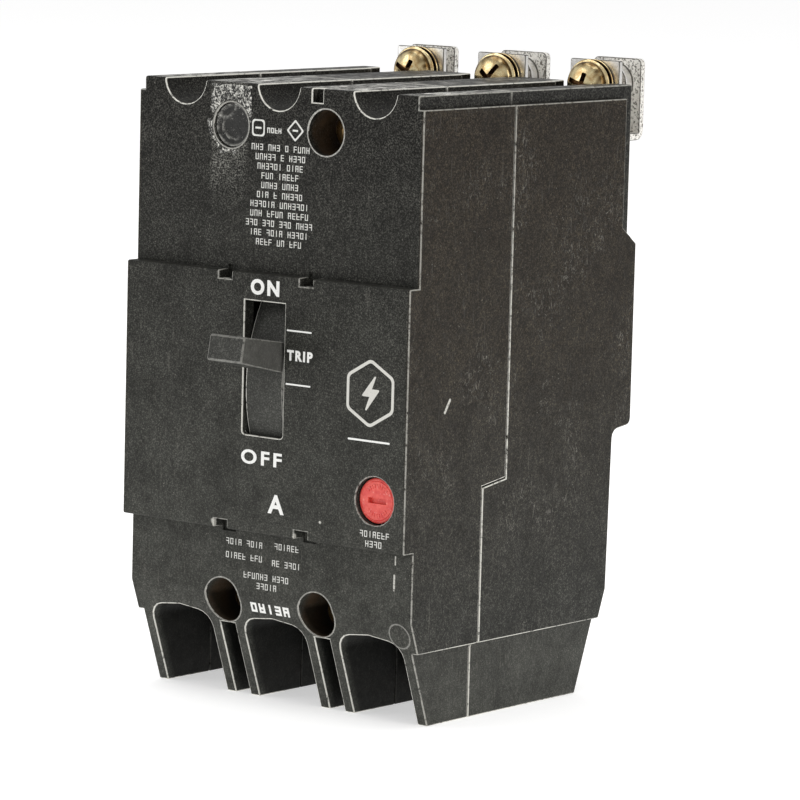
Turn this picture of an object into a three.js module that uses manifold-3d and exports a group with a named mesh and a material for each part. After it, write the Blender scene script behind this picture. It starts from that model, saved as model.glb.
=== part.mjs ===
// Three-pole moulded-case circuit breaker, bolt-on line terminals at the top and box lugs at the bottom.
// Millimetres, +Z up. X runs across the poles, Y from the handle side to the wall side. Inside this file
// Y = 0 is the raised panel round the handle; the exported group is shifted so that its origin is the
// bottom centre of the whole breaker.
import * as THREE from 'three';
import { mergeVertices } from 'three/addons/utils/BufferGeometryUtils.js';
import Module from 'manifold-3d';

const wasm = await Module();
wasm.setup();

// ---------------------------------------------------------------- driving dimensions
const GAP = 0.3; // kept between pieces that touch
const POLE_PITCH = 25.4;
const POLES = [-POLE_PITCH, 0, POLE_PITCH];
const BETWEEN_POLES = [-POLE_PITCH / 2, POLE_PITCH / 2];
const CASE_HALF = 1.5 * POLE_PITCH;
const CASE_TOP = 129.9;
const MID_Y = 38; // half way from the knob's tip to the rearmost screw tip

// Side view of the case: Y of each plane, Z of each step.
const PANEL_BOTTOM = 37;
const PANEL_TOP = 91.1;
const FRONT_Y = 3.1;
const FRONT_SLANT_Z = 22.5;
const FRONT_FOOT_Y = 11.2;
const SEAM_Y = 33.5;
const SEAM_LOW_Y = 25.6;
const SEAM_FOOT_Y = 24.6;
const SEAM_JOG = [48.6, 49.8];
const SEAM_FOOT_JOG = [14.9, 16.3];
const REAR_FOOT_Y = 62.3;
const REAR_SLANT = [70.4, 22];
const REAR_LOW_Y = 71.2;
const PAD_Y = 77.7;
const PAD_BOTTOM = 57;
const PAD_TOP = 96;
const REAR_TOP_Y = 76.3;
const REAR_CORNER = [72.8, 99.6];
const TOP_STEP_Z = 127.1;
const TOP_STEP_HALF = 36.7;
const SKIRT_Z = 15.8;
const SKIRT_HALF = 36.6;

// Pole chambers.
const CHAMBER_HALF = 10.9;
const CHAMBER_FLOOR = 24;
const CHAMBER_ROOF = 121;
const CHAMBER_FRONT = FRONT_Y + 3;
const PANEL_BACK = 3;
const CHAMBER_REAR = 71;
const CHAMBER_REAR_LOW = 67.5;

// Case rivets and the round pockets that hold their heads.
const RIVET_TOP_Z = 121;
const RIVET_LOW_Z = 21.1;
const RIVET_R = 1.9;
const RIVET_HOLE_R = 2.3;
const RIVET_HEAD_R = 3.7;
const POCKET_R = 4.75;
const BOSS_R = 4.5;
const FRONT_BOSS_R = 6.4;

// Screwdriver troughs on the top, lug compartments and grooves at the foot.
const TROUGH_R = 5.6;
const TROUGH_Z = 130.3;
const LUG_X = [-25.75, 0, 25.75];
const LUG_HALF = 8.35;
const LUG_ROOF = 18.3;
const LUG_DEPTH_Y = 45;
const GROOVE_X = [-12.875, 12.875];
const GROOVE_HALF = 2.02;
const GROOVE_TOP = 16;
const GROOVE_DEPTH_Y = 46;

// Handle: pivot, resting tilt and travel.
const HANDLE_PIVOT = { y: 36, z: 67.7 };
const SLOT_HALF = 5.45;
const SLOT_Z = [57.4, 85.4];
const SKIRT_R = 35.7;
const SKIRT_T = 1.6;
const HANDLE_TILT = THREE.MathUtils.degToRad(10.54);
const KNOB_TIP_R = 49;
const HANDLE_PIN_R = 1.5;

// Crossbar that carries the contact arms, and the crank that the drive link turns.
const CROSSBAR = { y: 52, z: 70, r: 3.9, half: 35.6 };
const ARM_REST = THREE.MathUtils.degToRad(10.3); // swung open from the closed, upright place
const ARM_TOP = 36.4;
const CONTACT_Z = 34;
const CRANK = 9;
const CRANK_PIN_R = 1.2;
const LINK_X = [4.7, 6.1];

// Trip button and trip bar.
const BUTTON = { x: 30.15, z: 47.25, r: 4.7, hole: 5 };
const TRIP_BAR = { y: 36, z: 56.3, r: 2.3 };
const CRADLE_PIVOT = { y: 30, z: 88 };
const CRADLE_HOOK = { y: 44.4, z: 90 }; // the main spring pulls between here and the handle's crank pin

// Line terminals: each screw, its washers and its clamp plate slide as one set.
const SCREW_Z = 129.3;
const SCREW_SET_Y = [4, 0.3, 0]; // how far back each pole's set rests
const SCREW_HEAD_R = 5.4;
const SCREW_HEAD_Y = [72.5, 76];
const SCREW_R = 2.4;
const STRAP_HALF = 6.3;
const STRAP_T = 1.6;
const STRAP_BACK = 88;
const STRAP_Z = [117.3, 134.8];

const FINISH = {
  phenolic: { color: 0x1f1e1c, roughness: 0.62, metalness: 0 },
  handle: { color: 0x262625, roughness: 0.5, metalness: 0 },
  red: { color: 0xc9252b, roughness: 0.45, metalness: 0 },
  brass: { color: 0xc9a253, roughness: 0.3, metalness: 1 },
  silver: { color: 0xb9b9b6, roughness: 0.35, metalness: 1 },
  copper: { color: 0xb87349, roughness: 0.4, metalness: 1 },
  steel: { color: 0x8d8f92, roughness: 0.45, metalness: 1 },
  aluminium: { color: 0xa9abad, roughness: 0.5, metalness: 1 },
  fibre: { color: 0x8a2f22, roughness: 0.8, metalness: 0 },
  compound: { color: 0x2c2b29, roughness: 0.9, metalness: 0 },
};

// ---------------------------------------------------------------- solids
function solidFrom(geometry) {
  const bare = geometry.clone();
  bare.deleteAttribute('normal');
  bare.deleteAttribute('uv');
  const merged = mergeVertices(bare, 1e-4);
  const vertProperties = new Float32Array(merged.attributes.position.array);
  const triVerts = new Uint32Array(merged.index.array);
  return new wasm.Manifold(new wasm.Mesh({ numProp: 3, vertProperties, triVerts }));
}

function geometryFrom(solid) {
  const mesh = solid.asOriginal().getMesh();
  const geometry = new THREE.BufferGeometry();
  geometry.setAttribute('position', new THREE.BufferAttribute(new Float32Array(mesh.vertProperties), 3));
  geometry.setIndex(new THREE.BufferAttribute(new Uint32Array(mesh.triVerts), 1));
  const faceted = geometry.toNonIndexed();
  faceted.computeVertexNormals();
  return faceted;
}

const join = (first, ...others) => others.reduce((whole, piece) => whole.add(piece), first);
const cut = (first, ...others) => others.reduce((whole, piece) => whole.subtract(piece), first);

function box([x0, x1], [y0, y1], [z0, z1]) {
  const geometry = new THREE.BoxGeometry(x1 - x0, y1 - y0, z1 - z0);
  return solidFrom(geometry.translate((x0 + x1) / 2, (y0 + y1) / 2, (z0 + z1) / 2));
}

// A closed outline from corner points [u, v] or [u, v, fillet radius].
function outline(corners, steps = 4) {
  const points = [];
  corners.forEach(([u, v, radius], i) => {
    if (!radius) {
      points.push(new THREE.Vector2(u, v));
      return;
    }
    const here = new THREE.Vector2(u, v);
    const before = corners[(i + corners.length - 1) % corners.length];
    const after = corners[(i + 1) % corners.length];
    const back = new THREE.Vector2(before[0], before[1]).sub(here).normalize();
    const on = new THREE.Vector2(after[0], after[1]).sub(here).normalize();
    const half = Math.acos(back.dot(on)) / 2;
    const start = here.clone().addScaledVector(back, radius / Math.tan(half));
    const end = here.clone().addScaledVector(on, radius / Math.tan(half));
    const centre = here.clone().addScaledVector(back.clone().add(on).normalize(), radius / Math.sin(half));
    const from = start.sub(centre).angle();
    let turn = end.sub(centre).angle() - from;
    if (turn > Math.PI) turn -= 2 * Math.PI;
    if (turn < -Math.PI) turn += 2 * Math.PI;
    for (let k = 0; k <= steps; k += 1) {
      const angle = from + (turn * k) / steps;
      points.push(new THREE.Vector2(Math.cos(angle), Math.sin(angle)).multiplyScalar(radius).add(centre));
    }
  });
  return new THREE.Shape(points);
}

const unit = { x: new THREE.Vector3(1, 0, 0), y: new THREE.Vector3(0, 1, 0), z: new THREE.Vector3(0, 0, 1) };

// Plates cut from an outline: (Y, Z) outlines run along X, (X, Z) outlines along Y, (X, Y) along Z.
function plateX(corners, [x0, x1], steps) {
  const geometry = new THREE.ExtrudeGeometry(outline(corners, steps), { depth: x1 - x0, bevelEnabled: false });
  geometry.applyMatrix4(new THREE.Matrix4().makeBasis(unit.y, unit.z, unit.x));
  return solidFrom(geometry.translate(x0, 0, 0));
}

function plateY(corners, [y0, y1], steps) {
  const geometry = new THREE.ExtrudeGeometry(outline(corners, steps), { depth: y1 - y0, bevelEnabled: false });
  geometry.applyMatrix4(new THREE.Matrix4().makeBasis(unit.x, unit.z, unit.y.clone().negate()));
  return solidFrom(geometry.translate(0, y1, 0));
}

function plateZ(corners, [z0, z1], steps) {
  const geometry = new THREE.ExtrudeGeometry(outline(corners, steps), { depth: z1 - z0, bevelEnabled: false });
  return solidFrom(geometry.translate(0, 0, z0));
}

function rodX({ y, z }, radius, [x0, x1], sides = 16) {
  const geometry = new THREE.CylinderGeometry(radius, radius, x1 - x0, sides);
  return solidFrom(geometry.rotateZ(Math.PI / 2).translate((x0 + x1) / 2, y, z));
}

function rodY({ x, z }, radius, [y0, y1], sides = 20) {
  const geometry = new THREE.CylinderGeometry(radius, radius, y1 - y0, sides);
  return solidFrom(geometry.translate(x, (y0 + y1) / 2, z));
}

// A turned piece round the Y axis from a profile of [radius, y] that starts and ends on the axis.
function turnedY(profile, sides = 20) {
  const points = profile.map(([radius, y]) => new THREE.Vector2(radius, y));
  return solidFrom(new THREE.LatheGeometry(points, sides));
}

// A domed rivet or screw head between two Y planes: the dome faces the low one.
function dome(radius, [top, rim], skirt, steps = 5) {
  const rise = rim - skirt - top;
  const profile = [];
  for (let k = 0; k <= steps; k += 1) {
    const angle = (Math.PI / 2) * (k / steps);
    profile.push([k ? radius * Math.sin(angle) : 0, rim - skirt - rise * Math.cos(angle)]);
  }
  return [...profile, [radius, rim]];
}

// ---------------------------------------------------------------- case
const lugArch = (x) => [
  [x - LUG_HALF, -1],
  [x + LUG_HALF, -1],
  [x + LUG_HALF, LUG_ROOF - 0.9, 3.6],
  [x, LUG_ROOF + 0.1],
  [x - LUG_HALF, LUG_ROOF - 0.9, 3.6],
];

function sideSteps() {
  const cuts = [];
  for (const side of [-1, 1]) {
    const beyond = (half) => (side > 0 ? [half, CASE_HALF + 1] : [-CASE_HALF - 1, -half]);
    cuts.push(box(beyond(TOP_STEP_HALF), [-1, PAD_Y + 1], [TOP_STEP_Z, CASE_TOP + 1]));
    cuts.push(box(beyond(SKIRT_HALF), [-1, PAD_Y + 1], [-1, SKIRT_Z]));
    const corner = [
      [PAD_Y + 1, PAD_TOP - 0.7],
      [PAD_Y, PAD_TOP],
      REAR_CORNER,
      [REAR_CORNER[0], CASE_TOP + 1],
      [PAD_Y + 1, CASE_TOP + 1],
    ];
    cuts.push(plateX(corner, beyond(TOP_STEP_HALF)));
  }
  return cuts;
}

const troughs = () => POLES.map((x) => rodY({ x, z: TROUGH_Z }, TROUGH_R, [-1, PAD_Y + 1], 28));
const lugPockets = (yRange) => LUG_X.map((x) => plateY(lugArch(x), yRange));
const grooves = () => GROOVE_X.map((x) =>
  box([x - GROOVE_HALF, x + GROOVE_HALF], [-1, GROOVE_DEPTH_Y], [-1, GROOVE_TOP]));

function frontCover() {
  const side = [
    [FRONT_Y, CASE_TOP, 0.5],
    [FRONT_Y, PANEL_TOP],
    [0, PANEL_TOP, 0.4],
    [0, PANEL_BOTTOM, 0.4],
    [FRONT_Y, PANEL_BOTTOM],
    [FRONT_Y, FRONT_SLANT_Z],
    [FRONT_FOOT_Y, 0],
    [SEAM_FOOT_Y, 0],
    [SEAM_FOOT_Y, SEAM_FOOT_JOG[0]],
    [SEAM_LOW_Y, SEAM_FOOT_JOG[1]],
    [SEAM_LOW_Y, SEAM_JOG[0]],
    [SEAM_Y, SEAM_JOG[1]],
    [SEAM_Y, CASE_TOP],
  ];
  let cover = cut(plateX(side, [-CASE_HALF, CASE_HALF], 3), ...sideSteps());

  const bosses = BETWEEN_POLES.flatMap((x) => [RIVET_TOP_Z, RIVET_LOW_Z].flatMap((z) => [
    rodY({ x, z }, FRONT_BOSS_R, [0, 15], 16),
    rodY({ x, z }, BOSS_R, [14, 40], 12),
  ]));
  const chamberSide = [
    [CHAMBER_FRONT, CHAMBER_FLOOR],
    [40, CHAMBER_FLOOR],
    [40, CHAMBER_ROOF],
    [CHAMBER_FRONT, CHAMBER_ROOF],
    [CHAMBER_FRONT, PANEL_TOP - 3],
    [PANEL_BACK, PANEL_TOP - 3],
    [PANEL_BACK, PANEL_BOTTOM + 3],
    [CHAMBER_FRONT, PANEL_BOTTOM + 3],
  ];
  for (const x of POLES) {
    const chamber = plateX(chamberSide, [x - CHAMBER_HALF, x + CHAMBER_HALF]);
    cover = cut(cover, cut(chamber, ...bosses));
  }

  // A bridge behind the trip button guides its stem and seats its spring.
  const bridge = box([BUTTON.x - 7, CASE_HALF - 1], [17.5, 19.5], [BUTTON.z - 6, BUTTON.z + 6]);
  cover = cut(join(cover, bridge), rodY(BUTTON, 2.2, [16, 21]));

  const slot = [
    [-SLOT_HALF, SLOT_Z[0], 0.8],
    [SLOT_HALF, SLOT_Z[0], 0.8],
    [SLOT_HALF, SLOT_Z[1]],
    [-SLOT_HALF, SLOT_Z[1]],
  ];
  const skirtRoom = rodX(HANDLE_PIVOT, SKIRT_R + 0.4, [-SLOT_HALF, SLOT_HALF], 96);
  const pockets = BETWEEN_POLES.flatMap((x) => [
    rodY({ x, z: RIVET_TOP_Z }, POCKET_R, [-1, 12], 24),
    rodY({ x, z: RIVET_LOW_Z }, POCKET_R, [-1, 13], 24),
    rodY({ x, z: RIVET_TOP_Z }, RIVET_HOLE_R, [-1, 40], 12),
    rodY({ x, z: RIVET_LOW_Z }, RIVET_HOLE_R, [-1, 40], 12),
  ]);
  const panelNotches = [-10.9, 10.9].flatMap((x) => [
    box([x - 1.8, x + 1.8], [-1, FRONT_Y + 0.6], [PANEL_TOP - 1.7, PANEL_TOP + 1]),
    box([x - 1.8, x + 1.8], [-1, FRONT_Y + 0.6], [PANEL_BOTTOM - 1, PANEL_BOTTOM + 1.8]),
  ]);
  return cut(
    cover,
    plateY(slot, [-1, CHAMBER_FRONT + 1]),
    skirtRoom,
    rodY(BUTTON, BUTTON.hole, [-1, CHAMBER_FRONT + 1], 24),
    ...pockets,
    ...panelNotches,
    box([8.9, 11.7], [-1, 5.2], [CASE_TOP - 2.9, CASE_TOP + 1]),
    ...troughs(),
    ...lugPockets([-1, 40]),
    ...grooves(),
  );
}

function rearBase() {
  const side = [
    [SEAM_Y + GAP, CASE_TOP],
    [SEAM_Y + GAP, SEAM_JOG[1] - GAP],
    [SEAM_LOW_Y + GAP, SEAM_JOG[0] - GAP],
    [SEAM_LOW_Y + GAP, SEAM_FOOT_JOG[1]],
    [SEAM_FOOT_Y + GAP, SEAM_FOOT_JOG[0]],
    [SEAM_FOOT_Y + GAP, 0],
    [REAR_FOOT_Y, 0],
    REAR_SLANT,
    [REAR_LOW_Y, PAD_BOTTOM - 0.8, 2],
    [PAD_Y, PAD_BOTTOM, 1.5],
    [PAD_Y, PAD_TOP],
    [REAR_TOP_Y, PAD_TOP + 1],
    [REAR_TOP_Y, CASE_TOP],
  ];
  let base = cut(plateX(side, [-CASE_HALF, CASE_HALF], 3), ...sideSteps());

  const bosses = BETWEEN_POLES.flatMap((x) => [RIVET_TOP_Z, RIVET_LOW_Z].map((z) =>
    rodY({ x, z }, BOSS_R, [20, 80], 12)));
  const chamberSide = [
    [20, CHAMBER_FLOOR],
    [CHAMBER_REAR_LOW, CHAMBER_FLOOR],
    [CHAMBER_REAR_LOW, PAD_BOTTOM + 4],
    [CHAMBER_REAR, PAD_BOTTOM + 4],
    [CHAMBER_REAR, CHAMBER_ROOF],
    [20, CHAMBER_ROOF],
  ];
  for (const x of POLES) {
    const chamber = plateX(chamberSide, [x - CHAMBER_HALF, x + CHAMBER_HALF]);
    base = cut(base, cut(chamber, ...bosses));
  }

  // Notches in the pole walls, open towards the cover, carry the crossbar and the trip bar.
  const barNotches = [
    [CROSSBAR, CROSSBAR.r + 0.7],
    [TRIP_BAR, TRIP_BAR.r + 0.5],
  ].flatMap(([bar, r]) => [
    box([-CHAMBER_HALF - 4, CHAMBER_HALF + 4], [20, bar.y], [bar.z - r, bar.z + r]),
    rodX(bar, r, [-CHAMBER_HALF - 4, CHAMBER_HALF + 4]),
  ]);
  const terminals = POLES.flatMap((x) => [
    box([x - STRAP_HALF - 0.5, x + STRAP_HALF + 0.5], [68, 80], [STRAP_Z[0] - 0.4, STRAP_Z[0] + STRAP_T + 0.4]),
    box([x - 6.6, x + 6.6], [71.8, 80], [123.2, CASE_TOP + 1]),
    box([x - 4.4, x + 4.4], [38.6, 40.7], [LUG_ROOF - 1, CHAMBER_FLOOR + 1]),
  ]);
  const rivetHoles = BETWEEN_POLES.flatMap((x) => [
    rodY({ x, z: RIVET_TOP_Z }, RIVET_HOLE_R, [20, 80], 12),
    rodY({ x, z: RIVET_LOW_Z }, RIVET_HOLE_R, [20, 80], 12),
    rodY({ x, z: RIVET_TOP_Z }, POCKET_R, [70.3, 80]),
    rodY({ x, z: RIVET_LOW_Z }, POCKET_R, [64.5, 80]),
  ]);
  return cut(base, ...barNotches, ...terminals, ...rivetHoles, ...troughs(),
    ...lugPockets([20, LUG_DEPTH_Y]), ...grooves());
}

// A tubular rivet between its front head and its rolled rear head.
function caseRivet(frontY, rearY) {
  const profile = dome(RIVET_HEAD_R, [frontY - 1.9, frontY], 0.5, 3);
  profile.push([RIVET_R, frontY], [RIVET_R, rearY], [RIVET_HEAD_R, rearY], [RIVET_HEAD_R, rearY + 0.9],
    [RIVET_HEAD_R - 1.4, rearY + 1.7], [0, rearY + 1.7]);
  return turnedY(profile, 12);
}

// Sealing compound pressed into one rivet pocket, in rings.
function sealWax() {
  const profile = [[0, 5.6], [1.6, 5.2], [2.6, 5.9], [3.4, 4.6], [4.4, 5.4], [4.4, 9.2], [0, 9.2]];
  return turnedY(profile, 16).translate([BETWEEN_POLES[0], 0, RIVET_TOP_Z]);
}

// ---------------------------------------------------------------- line side
function lineStrap() {
  const [low, high] = STRAP_Z;
  const side = [
    [58, 98],
    [58 + STRAP_T, 98],
    [58 + STRAP_T, low],
    [STRAP_BACK, low, 2.2],
    [STRAP_BACK, high],
    [STRAP_BACK - STRAP_T, high],
    [STRAP_BACK - STRAP_T, low + STRAP_T],
    [58, low + STRAP_T, 1.6],
  ];
  const rounding = [
    [-STRAP_HALF, 90],
    [STRAP_HALF, 90],
    [STRAP_HALF, high, 1.2],
    [-STRAP_HALF, high, 1.2],
  ];
  const bent = plateX(side, [-STRAP_HALF, STRAP_HALF]).intersect(plateY(rounding, [50, 95]));
  const collar = rodY({ x: 0, z: SCREW_Z }, 4.2, [84, STRAP_BACK - STRAP_T + 0.2], 16);
  const contact = box([-3.2, 3.2], [56.8, 58.2], [CROSSBAR.z + CONTACT_Z - 3.2, CROSSBAR.z + CONTACT_Z + 3.2]);
  return cut(join(bent, collar, contact), rodY({ x: 0, z: SCREW_Z }, SCREW_R + 0.4, [80, 90], 12));
}

function lineScrew() {
  const [top, rim] = SCREW_HEAD_Y;
  const profile = dome(SCREW_HEAD_R, [top, rim], 0.8, 4);
  profile.push([SCREW_R, rim], [SCREW_R, rim + 8.1], [SCREW_R - 0.6, rim + 8.6], [0, rim + 8.6]);
  const screw = turnedY(profile, 16).translate([0, 0, SCREW_Z]);
  const slotAcross = box([-3.6, 3.6], [top - 1, top + 1.2], [SCREW_Z - 0.55, SCREW_Z + 0.55]);
  const slotUp = box([-0.55, 0.55], [top - 1, top + 1.2], [SCREW_Z - 2.4, SCREW_Z + 2.4]);
  return cut(screw, slotAcross, slotUp);
}

function washer(outerR, [y0, y1], split) {
  const ring = cut(
    rodY({ x: 0, z: SCREW_Z }, outerR, [y0, y1], 20),
    rodY({ x: 0, z: SCREW_Z }, SCREW_R + 0.4, [y0 - 1, y1 + 1], 12),
  );
  return split ? cut(ring, box([-0.3, 0.3], [y0 - 1, y1 + 1], [SCREW_Z - outerR - 1, SCREW_Z])) : ring;
}

function clampPlate() {
  const face = [
    [-6.5, 119.6, 0.6],
    [6.5, 119.6, 0.6],
    [6.5, 134.6, 0.4],
    [-6.5, 134.6, 0.4],
  ];
  return cut(plateY(face, [78.2, 79.4], 2), rodY({ x: 0, z: SCREW_Z }, SCREW_R + 0.4, [77, 81], 12));
}

// Notched steel plates held between two fibre cheeks, over the path of the contact arm's tip.
function arcChute() {
  const cheeks = [-1, 1].map((side) =>
    box(side > 0 ? [8.1, 9.1] : [-9.1, -8.1], [37, 56.4], [100, 114.6]));
  const plates = [];
  for (let y = 39; y < 56; y += 3.2) plates.push(box([-8.3, 8.3], [y, y + 1], [107.5, 114]));
  return join(cheeks[0], cheeks[1], ...plates);
}

// ---------------------------------------------------------------- load side
function loadStrap() {
  const side = [
    [38.9, 3.5],
    [40.4, 3.5],
    [40.4, 24.6],
    [45, 24.6, 1.6],
    [45, 36],
    [43.5, 36],
    [43.5, 26.1],
    [38.9, 26.1, 1.6],
  ];
  return plateX(side, [-3.9, 3.9], 3);
}

function loadLug() {
  const block = plateY([[-6, 5.5, 1], [6, 5.5, 1], [6, 16.9, 1], [-6, 16.9, 1]], [26.6, 42.6], 2);
  const passage = box([-4.3, 4.3], [30.4, 40.9], [4, 18]);
  return cut(block, passage, rodY({ x: 0, z: 11.2 }, 3.5, [25, 32]));
}

function lugScrew() {
  const profile = [[0, 26.2], [1.9, 26.2], [1.9, 24.4], [3.1, 24.4], [3.1, 31.2], [2.2, 32.2], [0, 32.2]];
  return turnedY(profile, 14).translate([0, 0, 11.2]);
}

function bimetal() {
  const side = [
    [42.3, 28],
    [43.2, 28],
    [43.2, 35],
    [41.9, 37.6],
    [41.9, 61],
    [41, 61],
    [41, 37.2],
    [42.3, 34.6],
  ];
  return plateX(side, [-3.2, 3.2]);
}

function magnetYoke() {
  const plan = [
    [-7, 38.5],
    [-5.4, 38.5],
    [-5.4, 45.4],
    [5.4, 45.4],
    [5.4, 38.5],
    [7, 38.5],
    [7, 47],
    [-7, 47],
  ];
  return join(plateZ(plan, [37.5, 45]), box([-3.5, 3.5], [45.4, 47], [28, 38]));
}

function braid() {
  const route = new THREE.CatmullRomCurve3([
    new THREE.Vector3(0, 43.8, 54.5),
    new THREE.Vector3(0, 43.8, 60),
    new THREE.Vector3(0, 44.3, 68),
    new THREE.Vector3(0, 44.6, 75),
    new THREE.Vector3(0, 46, 82),
  ]);
  const ring = [];
  for (let k = 0; k < 6; k += 1) {
    const angle = (k * Math.PI) / 3;
    ring.push(new THREE.Vector2(1.4 * Math.cos(angle), 1.4 * Math.sin(angle)));
  }
  return solidFrom(new THREE.ExtrudeGeometry(new THREE.Shape(ring), { steps: 8, extrudePath: route }));
}

// ---------------------------------------------------------------- mechanism
function mechanismFrame() {
  const cheek = [
    [25, 61.5, 1.5],
    [70.2, 61.5],
    [70.2, 84, 2],
    [40, 92, 2],
    [25, 92, 2],
  ];
  const plates = [[-9.2, -7.6], [7.6, 9.2]].map((range) => plateX(cheek, range, 3));
  const web = box([-9.2, 9.2], [68.6, 70.2], [61.5, 83]);
  return cut(
    join(plates[0], plates[1], web),
    rodX(HANDLE_PIVOT, HANDLE_PIN_R + 0.35, [-12, 12]),
    rodX(CROSSBAR, CROSSBAR.r + 0.6, [-12, 12]),
    rodX(CRADLE_PIVOT, 1.55, [-12, 12]),
  );
}

// The handle's own frame: pivot at the origin, knob along -Y.
function handle() {
  const arc = [];
  const half = THREE.MathUtils.degToRad(38.5);
  const steps = 16;
  for (let k = 0; k <= steps; k += 1) {
    const angle = -half + (2 * half * k) / steps;
    arc.push([-SKIRT_R * Math.cos(angle), SKIRT_R * Math.sin(angle)]);
  }
  for (let k = steps; k >= 0; k -= 1) {
    const angle = -half + (2 * half * k) / steps;
    arc.push([-(SKIRT_R - SKIRT_T) * Math.cos(angle), (SKIRT_R - SKIRT_T) * Math.sin(angle)]);
  }
  const skirt = plateX(arc, [-5.05, 5.05]);
  const knobSide = [
    [-KNOB_TIP_R, -2.75, 0.5],
    [-34.8, -3.15],
    [-34.8, 3.15],
    [-KNOB_TIP_R, 2.75, 0.5],
  ];
  const knob = plateX(knobSide, [-4.65, 4.65], 2);
  const web = box([-3, 3], [-34.8, -2], [-3.6, 3.6]);
  const hub = rodX({ y: 0, z: 0 }, 5, [-3, 3]);
  return cut(join(skirt, knob, web, hub), rodX({ y: 0, z: 0 }, HANDLE_PIN_R + 0.35, [-8, 8]));
}

// A steel saddle over the handle's arm, with the crank pin that pulls the drive link.
function handleYoke() {
  const pivot = { y: 0, z: 0 };
  const crank = { y: -CRANK * Math.sin(HANDLE_TILT), z: CRANK * Math.cos(HANDLE_TILT) };
  const cheek = [
    [-13, 0, 1],
    [-2, -4.4, 2],
    [4.4, -3, 2],
    [4.4, crank.z + 2.4, 2],
    [-2.2, crank.z + 2.4, 2],
    [-13, 5.2],
  ];
  const cheeks = [[-4.4, -3.3], [3.3, 4.4]].map((range) => plateX(cheek, range, 2));
  const saddle = box([-4.4, 4.4], [-12.5, -6.5], [4, 5.1]);
  const pins = [[-7, -4], [4, 7]].map((range) => rodX(crank, CRANK_PIN_R, range, 12));
  return cut(join(saddle, ...cheeks, ...pins), rodX(pivot, HANDLE_PIN_R + 0.35, [-12, 12]));
}

// The link joins the handle's crank pin to the crossbar's crank pin; its own frame starts at the first.
function driveLink() {
  const span = { y: CROSSBAR.y - HANDLE_PIVOT.y, z: CROSSBAR.z - HANDLE_PIVOT.z };
  const start = { y: 0, z: 0 };
  const bar = [
    [0, -1.7],
    [span.y, span.z - 1.7],
    [span.y, span.z + 1.7],
    [0, 1.7],
  ];
  return cut(
    join(plateX(bar, LINK_X), rodX(start, 2.6, LINK_X, 20), rodX(span, 2.6, LINK_X, 20)),
    rodX(start, CRANK_PIN_R + 0.35, [2, 9], 12),
    rodX(span, CRANK_PIN_R + 0.35, [2, 9], 12),
  );
}

// The crossbar's own frame: its axis at the origin, contact arms upright when closed.
function crossbar() {
  const axis = { y: 0, z: 0 };
  const crank = { y: CRANK * Math.sin(ARM_REST), z: CRANK * Math.cos(ARM_REST) };
  const lever = [
    [-2.6, 0],
    [2.6, 0],
    [crank.y + 2.2, crank.z, 1],
    [crank.y, crank.z + 2.2, 1],
    [crank.y - 2.2, crank.z, 1],
  ];
  const levers = [[-4.4, -3.3], [3.3, 4.4]].map((range) => plateX(lever, range, 2));
  const pins = [[-7, -4], [4, 7]].map((range) => rodX(crank, CRANK_PIN_R, range, 12));
  return join(rodX(axis, CROSSBAR.r, [-CROSSBAR.half, CROSSBAR.half]), ...levers, ...pins);
}

function contactArm() {
  const side = [
    [-2.2, CROSSBAR.r + GAP],
    [2.2, CROSSBAR.r + GAP],
    [1.4, 13],
    [1.4, ARM_TOP, 0.6],
    [-1.4, ARM_TOP, 0.6],
    [-1.6, 13],
  ];
  const blade = plateX(side, [-2.5, 2.5], 2);
  return join(blade, rodY({ x: 0, z: CONTACT_Z }, 2.4, [1.2, 4.5], 16));
}

// Latch lever of the mechanism, in its own frame at its pivot.
function cradle() {
  const side = [
    [-3, -2.4, 1.2],
    [3, -2.4, 1.2],
    [19, 5, 1.4],
    [19, 8.4, 1],
    [2, 3.2, 1.2],
    [-3, 2.6, 1.2],
  ];
  return cut(plateX(side, [-7, -5.6], 3), rodX({ y: 0, z: 0 }, 1.55, [-12, 0], 16));
}

function coil(turns, radius, wire, length, sides = 4, stepsPerTurn = 10) {
  const points = [];
  for (let k = 0; k <= turns * stepsPerTurn; k += 1) {
    const angle = (2 * Math.PI * k) / stepsPerTurn;
    const along = (length * k) / (turns * stepsPerTurn);
    points.push(new THREE.Vector3(radius * Math.cos(angle), along, radius * Math.sin(angle)));
  }
  const section = [];
  for (let k = 0; k < sides; k += 1) {
    const angle = (2 * Math.PI * k) / sides;
    section.push(new THREE.Vector2(wire * Math.cos(angle), wire * Math.sin(angle)));
  }
  const extrudePath = new THREE.CatmullRomCurve3(points);
  const steps = turns * stepsPerTurn;
  return solidFrom(new THREE.ExtrudeGeometry(new THREE.Shape(section), { steps, extrudePath }));
}

function tripButton() {
  const stemEnd = TRIP_BAR.y - 1.4;
  const profile = [
    [0, 0.9], [BUTTON.r - 0.3, 0.9], [BUTTON.r, 1.2], [BUTTON.r, 3.4], [5.8, 3.4], [5.8, 4.5],
    [1.8, 4.5], [1.8, stemEnd], [0, stemEnd],
  ];
  return cut(turnedY(profile, 20), box([-2, 2.1], [0, 1.4], [-0.5, 0.5]));
}

// Trip bar, in its own frame on its axis: one tab for each bimetal and one lever for the button.
function tripBar() {
  const tabs = POLES.map((x) => box([x - 3.5, x + 3.5], [1.2, 2.4], [0.5, 5.2]));
  const lever = box([BUTTON.x - 1.2, BUTTON.x + 1.2], [-1, 1], [-10.7, -1]);
  return join(rodX({ y: 0, z: 0 }, TRIP_BAR.r, [-31, 33], 16), ...tabs, lever);
}

// ---------------------------------------------------------------- assembly
const breaker = new THREE.Group();

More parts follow.
